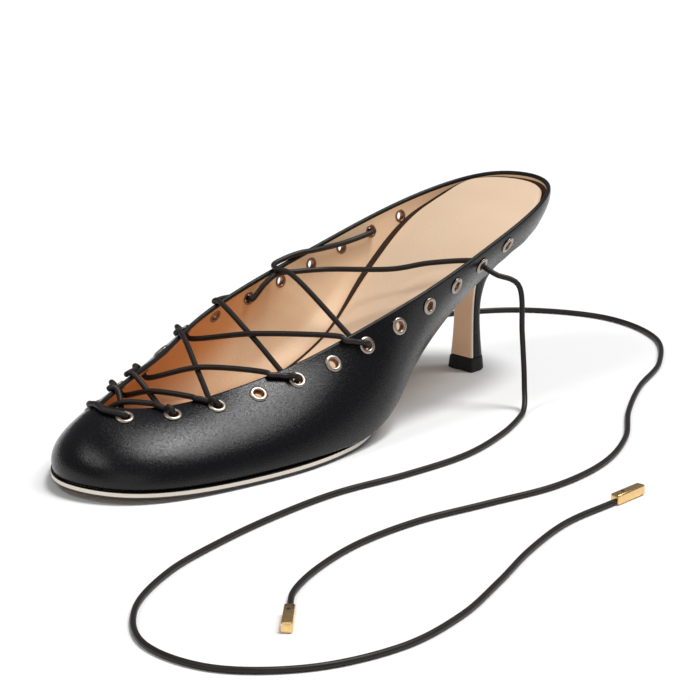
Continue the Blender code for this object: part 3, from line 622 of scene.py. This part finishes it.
sock_shares = np.concatenate((np.linspace(0, 0.94, 30), (0.96, 0.975, 0.988, 0.996, 1.0)))
sock_top = plate(sock_line, PLATE_STATIONS, SOCK_ENDS, sock_shares)
sock_x = sock_top[..., 0]
pad_front = 1 - ease(sock_x, 45 * MM, 95 * MM)
pad_back = 0.35 + 0.65 * ease(sock_x, 8 * MM, 30 * MM)
crown = LEAST_CROWN + PAD_CROWN * pad_front * pad_back
sock_top[..., 2] = rise(sock_x) + sock_rim(sock_x) + crown * (1 - sock_shares**2)
to_edge = np.linalg.norm(sock_top[:, -1:, :2] - sock_top[..., :2], axis=2)
sock_top[..., 2] -= EDGE_ROUND * (1 - np.clip(to_edge / (1.6 * EDGE_ROUND), 0, 1)) ** 2
for start_x, start_y, end_x, end_y, depth, half_width in np.array(PUCKERS) * MM:
    run_x, run_y = end_x - start_x, end_y - start_y
    length = np.hypot(run_x, run_y)
    from_x, from_y = sock_top[..., 0] - start_x, sock_top[..., 1] - start_y
    share = (from_x * run_x + from_y * run_y) / length**2
    off = (from_x * run_y - from_y * run_x) / length
    off += 0.12 * length * (share * (1 - share) * 4 - 0.5)
    fade = np.exp(-((share - 0.45) / 0.42) ** 4)
    spread = (off / half_width) ** 2
    sock_top[..., 2] -= fade * depth * (1 - 1.6 * spread) * np.exp(-spread)
sock_under = plate(sock_low_line, PLATE_STATIONS, SOCK_ENDS, (1.0, 0.6, 0.2, 0.0))
sock_under[..., 2] = rise(sock_under[..., 0]) + WALL + 0.3 * MM
insole_grid = np.concatenate((sock_top, sock_under), 1)
insole = closed_grid("insole_sock", insole_grid, (beige_sock,), wrap=False)
close_up(insole, 60)
insole_x = np.array([vertex.co[0] for vertex in insole.data.vertices]) + LAST_ORIGIN[0]
# Painted shade on the sock: amber rising towards the toe
set_attribute(insole.data, "painted_shade_share", 0.7 * ease(insole_x, 80 * MM, 160 * MM))
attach(insole, "root")
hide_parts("insole")

# Outsole: tan leather, full under the forepart, drawn in and thinner under the waist, and stopped
# at the front of the heel. Its trimmed edge is left pale, with an undercut along the bottom. Near
# black is painted as shade on the top of the sole along its edge, where it meets the upper, on a
# line below the pale band and on the undercut.
SOLE_THICK = 2.6 * MM
WAIST_THICK = 1.6 * MM
SOLE_BACK = 41.6 * MM
SOLE_TOP_GAP = 0.25 * MM
GLUE_GAP = 0.3 * MM
SOLE_ENDS = 14 * MM
# Shares of the edge's thickness: the pale band ends at the first, the painted shade line at the
# second, where the undercut starts
PALE_SHARE = 0.46
EDGE_SHADE_SHARE = 0.66
UNDERCUT = 2.6 * MM

sole_leather = leather(
    "sole_leather", (0.50, 0.34, 0.21), (0.62, 0.45, 0.30),
    roughness=0.5, cell_scale=1200, patch_scale=20, bump=0.3)
pale_edge = leather(
    "pale_edge", (0.82, 0.73, 0.62), (0.90, 0.83, 0.73),
    roughness=0.55, cell_scale=900, patch_scale=50, bump=0.2)
# Painted shade in near black, for the crease under the upper, the line under the pale edge and the
# undercut
edge_shade_paint = leather(
    "edge_shade_paint", (0.016, 0.012, 0.010), (0.03, 0.022, 0.017),
    roughness=0.45, cell_scale=900, patch_scale=50, bump=0.2)

sole_line = edge + out * size["sole_edge"]
sole_front = sole_line[sole_line[:, 0] > SOLE_BACK + 1 * MM]
cut = np.argmax(np.abs(np.diff(sole_front[:, 1]))) + 1
square = np.array([(SOLE_BACK, sole_front[cut - 1, 1], 0), (SOLE_BACK - 0.02 * MM, 0, 0),
                   (SOLE_BACK, sole_front[cut, 1], 0)])
sole_line = np.vstack((sole_front[:cut], square, sole_front[cut:]))
sole_shares = np.array((0, 0.2, 0.45, 0.7, 0.88, 1.0))
sole_top = plate(sole_line, PLATE_STATIONS, SOLE_ENDS, sole_shares)
thick = WAIST_THICK + (SOLE_THICK - WAIST_THICK) * ease(sole_top[..., 0], 75 * MM, BALL_BACK)
sole_rise = rise(sole_top[..., 0])
sole_top[..., 2] = sole_rise - SOLE_TOP_GAP
edge_bands = np.repeat(sole_top[:, -1:], 2, axis=1)
edge_bands[..., 2] = sole_rise[:, -1:] - GLUE_GAP - thick[:, -1:] * (PALE_SHARE, EDGE_SHADE_SHARE)
sole_low = sole_top.copy()
outward = unit(np.diff(sole_top[:, -2:, :2], axis=1))
sole_low[:, :, :2] -= outward * UNDERCUT * (sole_shares[None, :, None] > 0.8)
sole_low[..., 2] = rise(sole_low[..., 0]) - GLUE_GAP - thick
sole_grid = np.concatenate((sole_top, edge_bands, sole_low[:, ::-1]), 1)
SOLE_SLOT, PALE_SLOT, EDGE_SHADE_SLOT = range(3)
sole_slots = np.full(sole_grid.shape[1] - 1, SOLE_SLOT)
edge_start = len(sole_shares) - 2
# Painted shade on the sole's top along its edge, on the line under the pale band and on the
# undercut
sole_slots[edge_start : edge_start + 4] = EDGE_SHADE_SLOT, PALE_SLOT, EDGE_SHADE_SLOT, EDGE_SHADE_SLOT
sole_leathers = (sole_leather, pale_edge, edge_shade_paint)
outsole = closed_grid("outsole_leather", sole_grid, sole_leathers, sole_slots, wrap=False)
close_up(outsole, 40)
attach(outsole, "root")
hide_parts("outsole")

# Heel: a slim block covered in the upper's leather, with tan sole leather glued down its front and
# a rubber lift nailed under it. The front leather is a little paler along its cut edges.

# Height in mm, how far the section leans to the seat's slope, then front, back and half width in mm
HEEL_SECTIONS = (
    (5.3, 0, 30.0, 22.4, 5.2),
    (13, 0, 29.6, 23.2, 4.7),
    (21, 0, 29.3, 23.6, 4.5),
    (28, 0, 29.3, 22.6, 4.9),
    (32.5, 0.15, 30.2, 19.5, 6.8),
    (33.2, 0.4, 32.3, 13, 10.5),
    (26.5, 0.75, 35.8, 6, 15.5),
    (0, 1, 40.4, 1.2, 20.6),
)
HEEL_GAP = 0.3 * MM
BREAST_THICK = 0.9 * MM
BREAST_INSET = 0.15 * MM
# Layers of the front leather from its glued face out: how far out and how far drawn in, in mm
BREAST_LAYERS = ((0.3, 0), (0.9, 0), (1.15, 0.25), (1.2, 0.6))
BREAST_COLUMNS = 25
CORNER_ROUND = 0.5 * MM
HEEL_STEPS = 8
PALE_CUT = (0.84, 0.68, 0.52)

heel_cover = leather(
    "heel_cover", (0.007, 0.007, 0.008), (0.012, 0.012, 0.013),
    roughness=0.33, cell_scale=1500, patch_scale=260, bump=0.45, specular=0.17)
lift_rubber = leather(
    "lift_rubber", (0.006, 0.006, 0.006), (0.010, 0.010, 0.010),
    roughness=0.6, cell_scale=900, patch_scale=80, bump=0.3, specular=0.35)
breast_leather = leather(
    "breast_leather", (0.88, 0.53, 0.32), (0.95, 0.62, 0.40),
    roughness=0.45, cell_scale=1300, patch_scale=90, bump=0.25)
mix_by_attribute(breast_leather, "cut_edge", PALE_CUT)


def smooth_rows(rows, steps):
    """Catmull-Rom curve through table rows, read at even steps between them."""
    padded = np.vstack((2 * rows[0] - rows[1], rows, 2 * rows[-1] - rows[-2]))
    a, b, c, d = padded[:-3, None], padded[1:-2, None], padded[2:-1, None], padded[3:, None]
    t = np.linspace(0, 1, steps, endpoint=False)[None, :, None]
    square, cube = 2 * a - 5 * b + 4 * c - d, 3 * b - a - 3 * c + d
    fine = 0.5 * (2 * b + (c - a) * t + square * t**2 + cube * t**3)
    return np.vstack((fine.reshape(-1, rows.shape[1]), rows[-1:]))


def heel_rings(rows, arc=36, side=8):
    """D-shaped sections, one for each row: flat front with small corner rounds, straight sides and
    round back."""
    height, seat_share, front, back, half = (rows[:, k : k + 1] for k in range(5))
    middle = back + np.minimum(half, 0.7 * (front - back))
    corner = CORNER_ROUND
    turn = np.linspace(0, np.pi, arc + 1)[None]
    quarter = np.linspace(0, np.pi / 2, 4)[None]
    lead = np.linspace(0, 1, side, endpoint=False)[None, 1:]
    flat = np.linspace(-1, 1, 7)[None, 1:-1]
    x = np.hstack((
        front - corner + corner * np.cos(quarter),
        front - corner + (middle - front + corner) * lead,
        middle - (middle - back) * np.sin(turn), middle + (front - corner - middle) * lead,
        front - corner + corner * np.sin(quarter), front + 0 * flat))
    y = np.hstack((
        half - corner + corner * np.sin(quarter), half + 0 * lead, half * np.cos(turn),
        -half + 0 * lead, -half + corner - corner * np.cos(quarter), (half - corner) * flat))
    level = height * (1 - seat_share) + seat_share * (rise(x) - HEEL_GAP)
    return np.stack((x, y, level), -1).transpose(1, 0, 2)


heel_rows = np.array(HEEL_SECTIONS, float)
heel_rows[:, [0, 2, 3, 4]] *= MM
heel_rows = smooth_rows(heel_rows, HEEL_STEPS)
heel_grid = heel_rings(heel_rows)
seat = heel_grid[:, -1]
seat_spine = seat * 0
seat_spine[:, 0] = np.clip(seat[:, 0], 14 * MM, 30 * MM)
seat_shares = np.array((0.6, 0.25, 0.0))[None, :, None]
seat_plan = seat_spine[:, None] + (seat - seat_spine)[:, None] * seat_shares
seat_plan[..., 2] = rise(seat_plan[..., 0]) - HEEL_GAP
heel_foot = heel_grid[:, :1] * (1, 0, 1)
block_grid = np.concatenate((heel_foot, heel_grid, seat_plan), 1)
heel = closed_grid("heel_block", block_grid, (heel_cover,), wrap=False)
close_up(heel, 40)

breast_rows = heel_rows[: -HEEL_STEPS - 1]
breast_levels = heel_grid[0, : len(breast_rows), 2]
front_line = np.column_stack((breast_rows[:, 2], breast_levels * 0, breast_levels))
front_along = unit(np.gradient(front_line, axis=0))
forward = np.column_stack((front_along[:, 2], front_along[:, 1], -front_along[:, 0]))
breast_half = breast_rows[:, 4] - BREAST_INSET
layers = []
for reach, inset in BREAST_LAYERS:
    width = (breast_half - inset * MM)[:, None] * np.linspace(-1, 1, BREAST_COLUMNS)[None]
    base = front_line + forward * reach * MM
    layers.append(base[:, None] + width[..., None] * np.array((0, 1.0, 0)))
loop = np.concatenate((layers[0][:, ::-1], *(layer[:, :1] for layer in layers[1:-1]), layers[-1],
                       *(layer[:, -1:] for layer in layers[-2:0:-1])), 1)
loop_ends = [loop[k : k + 1] * (1, 0, 1) for k in (0, -1)]
breast_grid = np.concatenate((loop_ends[0], loop, loop_ends[1]), 0).transpose(1, 0, 2)
breast = closed_grid("heel_breast_leather", breast_grid, (breast_leather,), wrap=False)
close_up(breast, 40)
breast_points = np.array([vertex.co for vertex in breast.data.vertices]) + LAST_ORIGIN
half_there = np.interp(breast_points[:, 2], front_line[:, 2], breast_half)
from_middle = np.abs(breast_points[:, 1])
paleness = ease(from_middle, half_there - 0.9 * MM, half_there - 0.2 * MM)
set_attribute(breast.data, "cut_edge", paleness)

lift_rows = np.repeat(heel_rows[:1], 6, 0)
lift_levels = np.array((0, 0.0, 0.5, 4.6, 5.0, 5.0)) * MM
lift_spread = np.array((0.0, 0.2, 0.6, 0.2, 0.0, 0.0)) * MM
lift_rows[:, 0] = lift_levels
lift_rows[:, 2] += BREAST_THICK + HEEL_GAP + lift_spread
lift_rows[:, 3] -= lift_spread
lift_rows[:, 4] += lift_spread
lift_grid = heel_rings(lift_rows)
lift_grid[:, [0, -1], 1] = 0
lift = closed_grid("lift_rubber", lift_grid, (lift_rubber,), wrap=False)
close_up(lift, 40)
for piece, node, slot in ((heel, "heel", "heel_cover"), (breast, "heel_breast", "breast_leather"),
                          (lift, "top_lift", "lift_rubber")):
    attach(piece, "root")
    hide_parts(node)

# Eyelets: pressed rings of pale gold metal, a rounded flange outside, a barrel through the leather
# and a smaller rolled edge on the lining, where the plating is left off and the copper shows.
RING_SIDES = 28
PLATED_DOWN_TO = -0.7 * MM
# Radius and height over the leather's face, from the barrel over the flange and round the back
EYELET_PROFILE = np.array((
    (1.62, -1.80), (1.60, -0.8), (1.60, 0.1), (1.68, 0.42), (1.92, 0.60), (2.30, 0.64),
    (2.70, 0.52), (2.98, 0.30), (3.05, 0.10), (2.60, 0.06), (2.16, 0.04), (2.14, -1.58),
    (2.36, -1.64), (2.40, -1.74), (2.20, -1.86), (1.85, -1.90),
)) * MM


def polished(name, colour, roughness):
    """Polished metal with faint smears in its colour and gloss."""
    material, nodes, link, shader = new_material(name)
    shader.inputs["Metallic"].default_value = 1
    place = add_node(nodes, "TexCoord")
    smear = add_node(nodes, "TexNoise", Scale=900, Detail=3)
    tone = colour_mix(nodes, 0.85 * np.array(colour), 1.12 * np.array(colour))
    gloss = add_node(nodes, "MapRange", To_Min=roughness - 0.06, To_Max=roughness + 0.08)
    link(place.outputs["Object"], smear.inputs["Vector"])
    link(smear.outputs["Fac"], tone.inputs["Factor"])
    link(tone.outputs["Result"], shader.inputs["Base Color"])
    link(smear.outputs["Fac"], gloss.inputs["Value"])
    link(gloss.outputs["Result"], shader.inputs["Roughness"])
    return material


pale_gold = polished("pale_gold", (0.42, 0.355, 0.30), 0.33)
bare_copper = polished("bare_copper", (0.30, 0.16, 0.10), 0.45)
band_low = np.minimum(EYELET_PROFILE[:, 1], np.roll(EYELET_PROFILE[:, 1], -1))
eyelet_slots = (band_low < PLATED_DOWN_TO).astype(int)

for (side, number), (centre, axis, _) in PLACES.items():
    ring_grid = turned(EYELET_PROFILE, RING_SIDES, centre, axis)
    ring_metals = (pale_gold, bare_copper)
    ring = closed_grid(f"ring_{side}_{number:02d}", ring_grid, ring_metals, eyelet_slots)
    close_up(ring)
    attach(ring, "root")
    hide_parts(f"eyelet_{side}_{number:02d}")

# Lace: one round black leather cord. Its middle lies across the vamp in front of the throat, and
# its two halves cross over the opening, each going over the topline and back into an eyelet from
# outside. After the seventh eyelets the two hook round each other and part to the eleventh.
CORD = 1.9 * MM
TOUCH = 0.1 * MM
# Eyelet numbers that each crossing joins, and how far in front of its eyelet, counted in eyelets,
# a strand comes over the topline
CROSSINGS = ((1, 2), (2, 3), (3, 5), (5, 7))
EDGE_LEAD = {
    "inner": {2: 0.7, 3: 0.95, 5: 0.65, 7: 1.05},
    "outer": {2: 0.32, 3: 0.42, 5: 0.6, 7: 0.55},
}
# Where the strands from the outer and the inner side meet, as shares of their straight lines, and
# how far inside and above the topline those lines end
MEETING = {"outer": 0.54, "inner": 0.45}
LANDING = (1.2 * MM, 1.6 * MM)
# Places along an eyelet's axis in mm, where a strand goes through it from outside to inside, the
# place inside where it leaves, and how far out of and beside the middle it enters
THROUGH = (1.0, 0.3, -0.8, -2.2, -3.2)
LEAVING = 2.95 * MM
MOUTH = (1.65 * MM, 1.9 * MM)
# Shares of the lead and mm below the topline, where a strand lies on the face before its eyelet
DOWN_FACE = ((0.72, 2.0), (0.36, 3.7))
# Sections from the toe and mm below the topline, where the bar across the vamp lies
VAMP_BAR = ((0, 2.4), (7, 3.0), (14, 4.2))
# Last crossing on the inner side: eyelet number, then mm inside the topline and mm above it. SAG:
# shares of the way from there to the eleventh outer eyelet, and mm above the straight line.
HOOKED = ((7.75, 9, 0.3), (7.7, 4, 0.95), (7.8, 0.8, 1.2), (8.2, 0.6, 1.15), (8.6, 1.9, 0.9),
          (9, 2.9, -0.4), (10, 3.3, -3.6))
HELD = ((7.35, 3.1, -2.5), (7.7, 4, -0.95), (8.2, 6.5, -2.6), (8.9, 11, -5.2))
SAG = ((0.45, -1.2), (0.7, 0.2))
LACE_SPACING = 0.7 * MM
CURVE_STEPS = 24


def cord_leather(name):
    """Round waxed leather cord: near black, with faint lengthwise fibres from a noise that is read
    by the cord's own length and turn."""
    material, nodes, link, shader = new_material(name)
    shader.inputs["Specular IOR Level"].default_value = 0.36
    place = add_node(nodes, "UVMap")
    stretch = add_node(nodes, "Mapping", Scale=(160, 9, 1))
    fibre = add_node(nodes, "TexNoise", Scale=1, Detail=4)
    colour = colour_mix(nodes, (0.006, 0.004, 0.0035), (0.018, 0.012, 0.010))
    gloss = add_node(nodes, "MapRange", To_Min=0.36, To_Max=0.58)
    relief = add_node(nodes, "Bump", Strength=0.35, Distance=GRAIN_DEPTH)
    link(place.outputs["UV"], stretch.inputs["Vector"])
    link(stretch.outputs["Vector"], fibre.inputs["Vector"])
    for target in (colour.inputs["Factor"], gloss.inputs["Value"], relief.inputs["Height"]):
        link(fibre.outputs["Fac"], target)
    link(colour.outputs["Result"], shader.inputs["Base Color"])
    link(gloss.outputs["Result"], shader.inputs["Roughness"])
    link(relief.outputs["Normal"], shader.inputs["Normal"])
    return material


black_cord = cord_leather("black_cord")


def taut_path(points, spacing):
    """Centripetal Catmull-Rom curve through route points, so that it stays close to the straight
    line between them: each span is blended from the lines through its neighbours, with knots at
    the root of the distances."""
    points = np.asarray(points, float)
    padded = np.vstack((2 * points[0] - points[1], points, 2 * points[-1] - points[-2]))
    distance = np.linalg.norm(np.diff(padded, axis=0), axis=1)
    knot = np.concatenate(([0], np.cumsum(np.sqrt(distance))))
    p0, p1, p2, p3 = (padded[k : len(padded) - 3 + k, None] for k in range(4))
    k0, k1, k2, k3 = (knot[k : len(knot) - 3 + k, None, None] for k in range(4))
    t = k1 + (k2 - k1) * np.linspace(0, 1, CURVE_STEPS, endpoint=False)[None, :, None]
    a1 = ((k1 - t) * p0 + (t - k0) * p1) / (k1 - k0)
    a2 = ((k2 - t) * p1 + (t - k1) * p2) / (k2 - k1)
    a3 = ((k3 - t) * p2 + (t - k2) * p3) / (k3 - k2)
    b1 = ((k2 - t) * a1 + (t - k0) * a2) / (k2 - k0)
    b2 = ((k3 - t) * a2 + (t - k1) * a3) / (k3 - k1)
    fine = np.vstack(((((k2 - t) * b1 + (t - k1) * b2) / (k2 - k1)).reshape(-1, 3), points[-1:]))
    return even_path(fine, spacing)


def even_path(fine, spacing):
    """A finely drawn line read off at even spacing along its length."""
    run = run_along(fine)
    even = np.linspace(0, run[-1], max(2, round(run[-1] / spacing) + 1))
    return np.column_stack([np.interp(even, run, fine[:, k]) for k in range(3)])


def cord_tube(name, path, radius, sides=14):
    """Round tube along a path: a circle carried by frames that turn as little as the path lets
    them, with rounded ends. Its UV map holds the length in metres and the turn from 0 to 1."""
    along = unit(np.gradient(path, axis=0))
    side = np.empty_like(path)
    side[0] = unit(np.cross(along[0], (0.31, 0.22, 0.92)))
    for k in range(1, len(path)):
        side[k] = unit(side[k - 1] - along[k] * (side[k - 1] @ along[k]))
    other = np.cross(along, side)
    angle = np.linspace(0, 2 * np.pi, sides, endpoint=False)[:, None, None]
    round_about = np.cos(angle) * side + np.sin(angle) * other
    cap = np.array((0.0, 0.5, 0.85))
    bulge = np.array((0.5, 0.4, 0.2)) * radius
    body = path + radius * round_about
    start = path[0] - along[0] * bulge[:, None] + radius * round_about[:, :1] * cap[:, None]
    end = path[-1] + along[-1] * bulge[::-1, None] + radius * round_about[:, -1:] * cap[::-1, None]
    grid = np.concatenate((start, body, end), 1)
    piece = closed_grid(name, grid, (black_cord,), wrap=False)
    run = run_along(path)
    run = np.concatenate((run[:1], run[:1], run[:1], run, run[-1:], run[-1:], run[-1:]))
    mesh = piece.data
    corner = np.empty(len(mesh.loops), np.int32)
    mesh.loops.foreach_get("vertex_index", corner)
    turn = (corner // grid.shape[1] / sides).reshape(-1, 4)
    turn = np.where((turn.max(1, keepdims=True) - turn > 0.5), turn + 1, turn).ravel()
    layer = mesh.uv_layers.new(name="cord_map")
    layer.data.foreach_set("uv", np.column_stack((run[corner % grid.shape[1]], turn)).ravel())
    close_up(piece)
    return piece


def through(side, number):
    """Route points through an eyelet from outside to inside."""
    centre, axis, _ = PLACES[side, number]
    return [centre + axis * place * MM for place in THROUGH]


def near_edge(side, number, inward, up):
    """A point beside the topline at an eyelet number, this far inside it and above it."""
    _, (axis,), (rim,) = along_row(side, [number])
    return rim + unit(-axis * (1, 1, 0)) * inward + UP * up


def round_edge(side, number, origin):
    """Route points round the topline and onto the outer face, on an arc about the rim's middle, for
    a cord that comes straight from a point inside."""
    (point,), (normal,), (rim,) = along_row(side, [number], 2 * MM)
    up = unit(rim - point)
    level = unit(normal - up * (normal @ up))
    middle = rim - (up + level) * WALL / 2
    reach = WALL / 2 + CORD / 2 + TOUCH
    run = origin - middle
    turn = np.clip(np.arctan2(-(run @ level), run @ up), 0.35, 2.2)
    return [middle + reach * (level * np.cos(a) + up * np.sin(a)) for a in (turn, turn / 2, 0)]


def down_face(side, number, lead):
    """Route points down the outer face from the topline and back to an eyelet's mouth."""
    points = []
    for share, drop in DOWN_FACE:
        (point,), (normal,), _ = along_row(side, [number - share * lead], drop * MM)
        points.append(point + normal * (CORD / 2 + TOUCH))
    centre, axis, _ = PLACES[side, number]
    return points + [centre + axis * MOUTH[0] + unit(points[-1] - centre) * MOUTH[1]]


def strand(side, number, meet):
    """Route of a strand over the meeting point of a crossing and the topline, and into its next
    eyelet."""
    lead = EDGE_LEAD[side][number]
    over = round_edge(side, number - lead, meet)
    return [meet] + over + down_face(side, number, lead) + through(side, number)


def meeting_point(low, high):
    """Where the two strands of a crossing meet: halfway between the points at the MEETING shares of
    their straight lines."""
    total = 0
    for side, other in (("outer", "inner"), ("inner", "outer")):
        centre, axis, _ = PLACES[side, low]
        start = centre - axis * LEAVING
        end = near_edge(other, high - EDGE_LEAD[other][high], *LANDING)
        share = MEETING[side]
        total = total + (start * (1 - share) + end * share) / 2
    return total


routes = {}
for first, order in (("outer", 1), ("inner", -1)):
    side, other = first, "inner" if first == "outer" else "outer"
    route = [line[k * order] + normal[k * order] * (CORD / 2 + TOUCH) for k, drop in VAMP_BAR
             for line, normal, _ in (below_top(drop * MM),)]
    route += through(first, 1)
    for low, high in CROSSINGS:
        lift = CORD / 2 if side == "inner" else -CORD / 2
        route += strand(other, high, meeting_point(low, high) + UP * lift)
        side, other = other, side
    routes[first] = route
hook = [near_edge("inner", number, inward * MM, up * MM) for number, inward, up in HOOKED]
routes["outer"] += hook + through("inner", 11)[::-1]
hold = [near_edge("inner", number, inward * MM, up * MM) for number, inward, up in HELD]
goal = through("outer", 11)[::-1]
sag = [hold[-1] + (goal[0] - hold[-1]) * share + UP * lift * MM for share, lift in SAG]
routes["inner"] += hold + sag + goal
lace_halves = {side: cord_tube(f"lace_{side}_half", taut_path(route, LACE_SPACING), CORD / 2)
               for side, route in routes.items()}
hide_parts("lace_toe_bar", "lace_cross_1", "lace_cross_2")
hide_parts("lace_cross_3", "lace_cross_4", "lace_cross_5")
for piece in lace_halves.values():
    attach(piece, "root")

# Ties: the lace's two free ends, long enough to be wound and tied. They come out of the eleventh
# eyelets, drop down the wall and lie loose on the floor, each ending in a small gold bar held by a
# dark pin.

# Route points in mm: down from the eyelet, and then x and y on the floor at the height FLOOR_LINE
FLOOR_LINE = 1.05
TIE_LENGTH = {"outer": 0.525, "inner": 0.539}
TIE_DROPS = {
    "outer": ((48.5, 41, 42), (49, 43, 26), (51, 46, 9)),
    "inner": ((48.5, -40, 43), (48, -42, 26), (45, -45, 9)),
}
TIE_FLOOR = {
    "outer": (
        (59, 52), (80, 61), (106, 67), (134, 66), (162, 62), (190, 63), (218, 67), (246, 74),
        (272, 88), (288, 109), (287, 134), (269, 153), (242, 161), (214, 158), (187, 149),
        (161, 139), (135, 132), (110, 131),
    ),
    "inner": (
        (36, -50), (14, -56), (-16, -53), (-44, -35), (-58, -4), (-49, 27), (-23, 49), (6, 62),
        (32, 77), (56, 94), (82, 105), (110, 108), (138, 103), (164, 98), (190, 98), (213, 103),
        (232, 111), (244, 121),
    ),
}
TIE_SPACING = 1.5 * MM
TIE_EXIT = 1.25 * MM
TIE_STRAIGHT = 5 * MM
TIP_SIDE = 3.4 * MM
TIP_GAP = 0.3 * MM
TIP_SQUARENESS = 0.35
PIN_SIDES = 16
PIN_PLACE = 4.2 * MM
PIN_PROFILE = np.array(((0.0, 0.0), (0.62, 0.0), (0.66, 0.06), (0.5, 0.13), (0.0, 0.16))) * MM

tip_gold = polished("tip_gold", (0.85, 0.58, 0.26), 0.26)
pin_steel = polished("pin_steel", (0.10, 0.07, 0.05), 0.45)


def gold_bar(name, start, ahead):
    """Square bar with rounded edges: a superellipse carried along its length, drawn in at the
    ends."""
    across = np.array((-ahead[1], ahead[0], 0.0))
    angle = np.linspace(0, 2 * np.pi, 32, endpoint=False)
    circle = np.column_stack((np.cos(angle), np.sin(angle)))
    square = np.sign(circle) * np.abs(circle) ** TIP_SQUARENESS * TIP_SIDE / 2
    stations = np.array((0.0, 0.0, 0.15, 0.45, 13.55, 13.85, 14.0, 14.0)) * MM
    spread = np.array((0.0, 0.80, 0.94, 1.0, 1.0, 0.94, 0.80, 0.0))
    wide, high = (square[:, None, k : k + 1] * spread[None, :, None] for k in (0, 1))
    grid = start + (wide * across + high * UP) + (stations[:, None] * ahead)[None]
    piece = closed_grid(name, grid, (tip_gold,), wrap=False)
    close_up(piece, 35)
    return piece


for side in TIE_LENGTH:
    centre, axis, _ = PLACES[side, 11]
    route = [*TIE_DROPS[side], *((x, y, FLOOR_LINE) for x, y in TIE_FLOOR[side])]
    leave = centre + axis * TIE_EXIT
    route_points = np.vstack((leave, leave + axis * TIE_STRAIGHT, np.array(route) * MM))
    path = even_path(smooth_rows(route_points, CURVE_STEPS), TIE_SPACING)
    path[:, 2] = np.maximum(path[:, 2], FLOOR_LINE * MM)
    tie = cord_tube(f"tie_{side}_cord", path, CORD / 2)
    ahead_end = unit((path[-1] - path[-2]) * (1, 1, 0))
    start = path[-1] + ahead_end * TIP_GAP
    start[2] = TIP_SIDE / 2 + 0.1 * MM
    tip = gold_bar(f"tip_{side}_bar", start, ahead_end)
    pin_foot = start + ahead_end * PIN_PLACE + UP * (TIP_SIDE / 2 - 0.02 * MM)
    pin_grid = turned(PIN_PROFILE, PIN_SIDES, pin_foot, unit(UP + 1e-4 * ahead_end))
    pin = closed_grid(f"tip_{side}_pin", pin_grid, (pin_steel,), wrap=False)
    close_up(pin)
    for piece, slot in ((tie, "lace_cord"), (tip, "tip_gold"), (pin, "tip_gold")):
        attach(piece, "root")
    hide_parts(f"tie_{side}")
    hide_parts(f"tip_{side}")
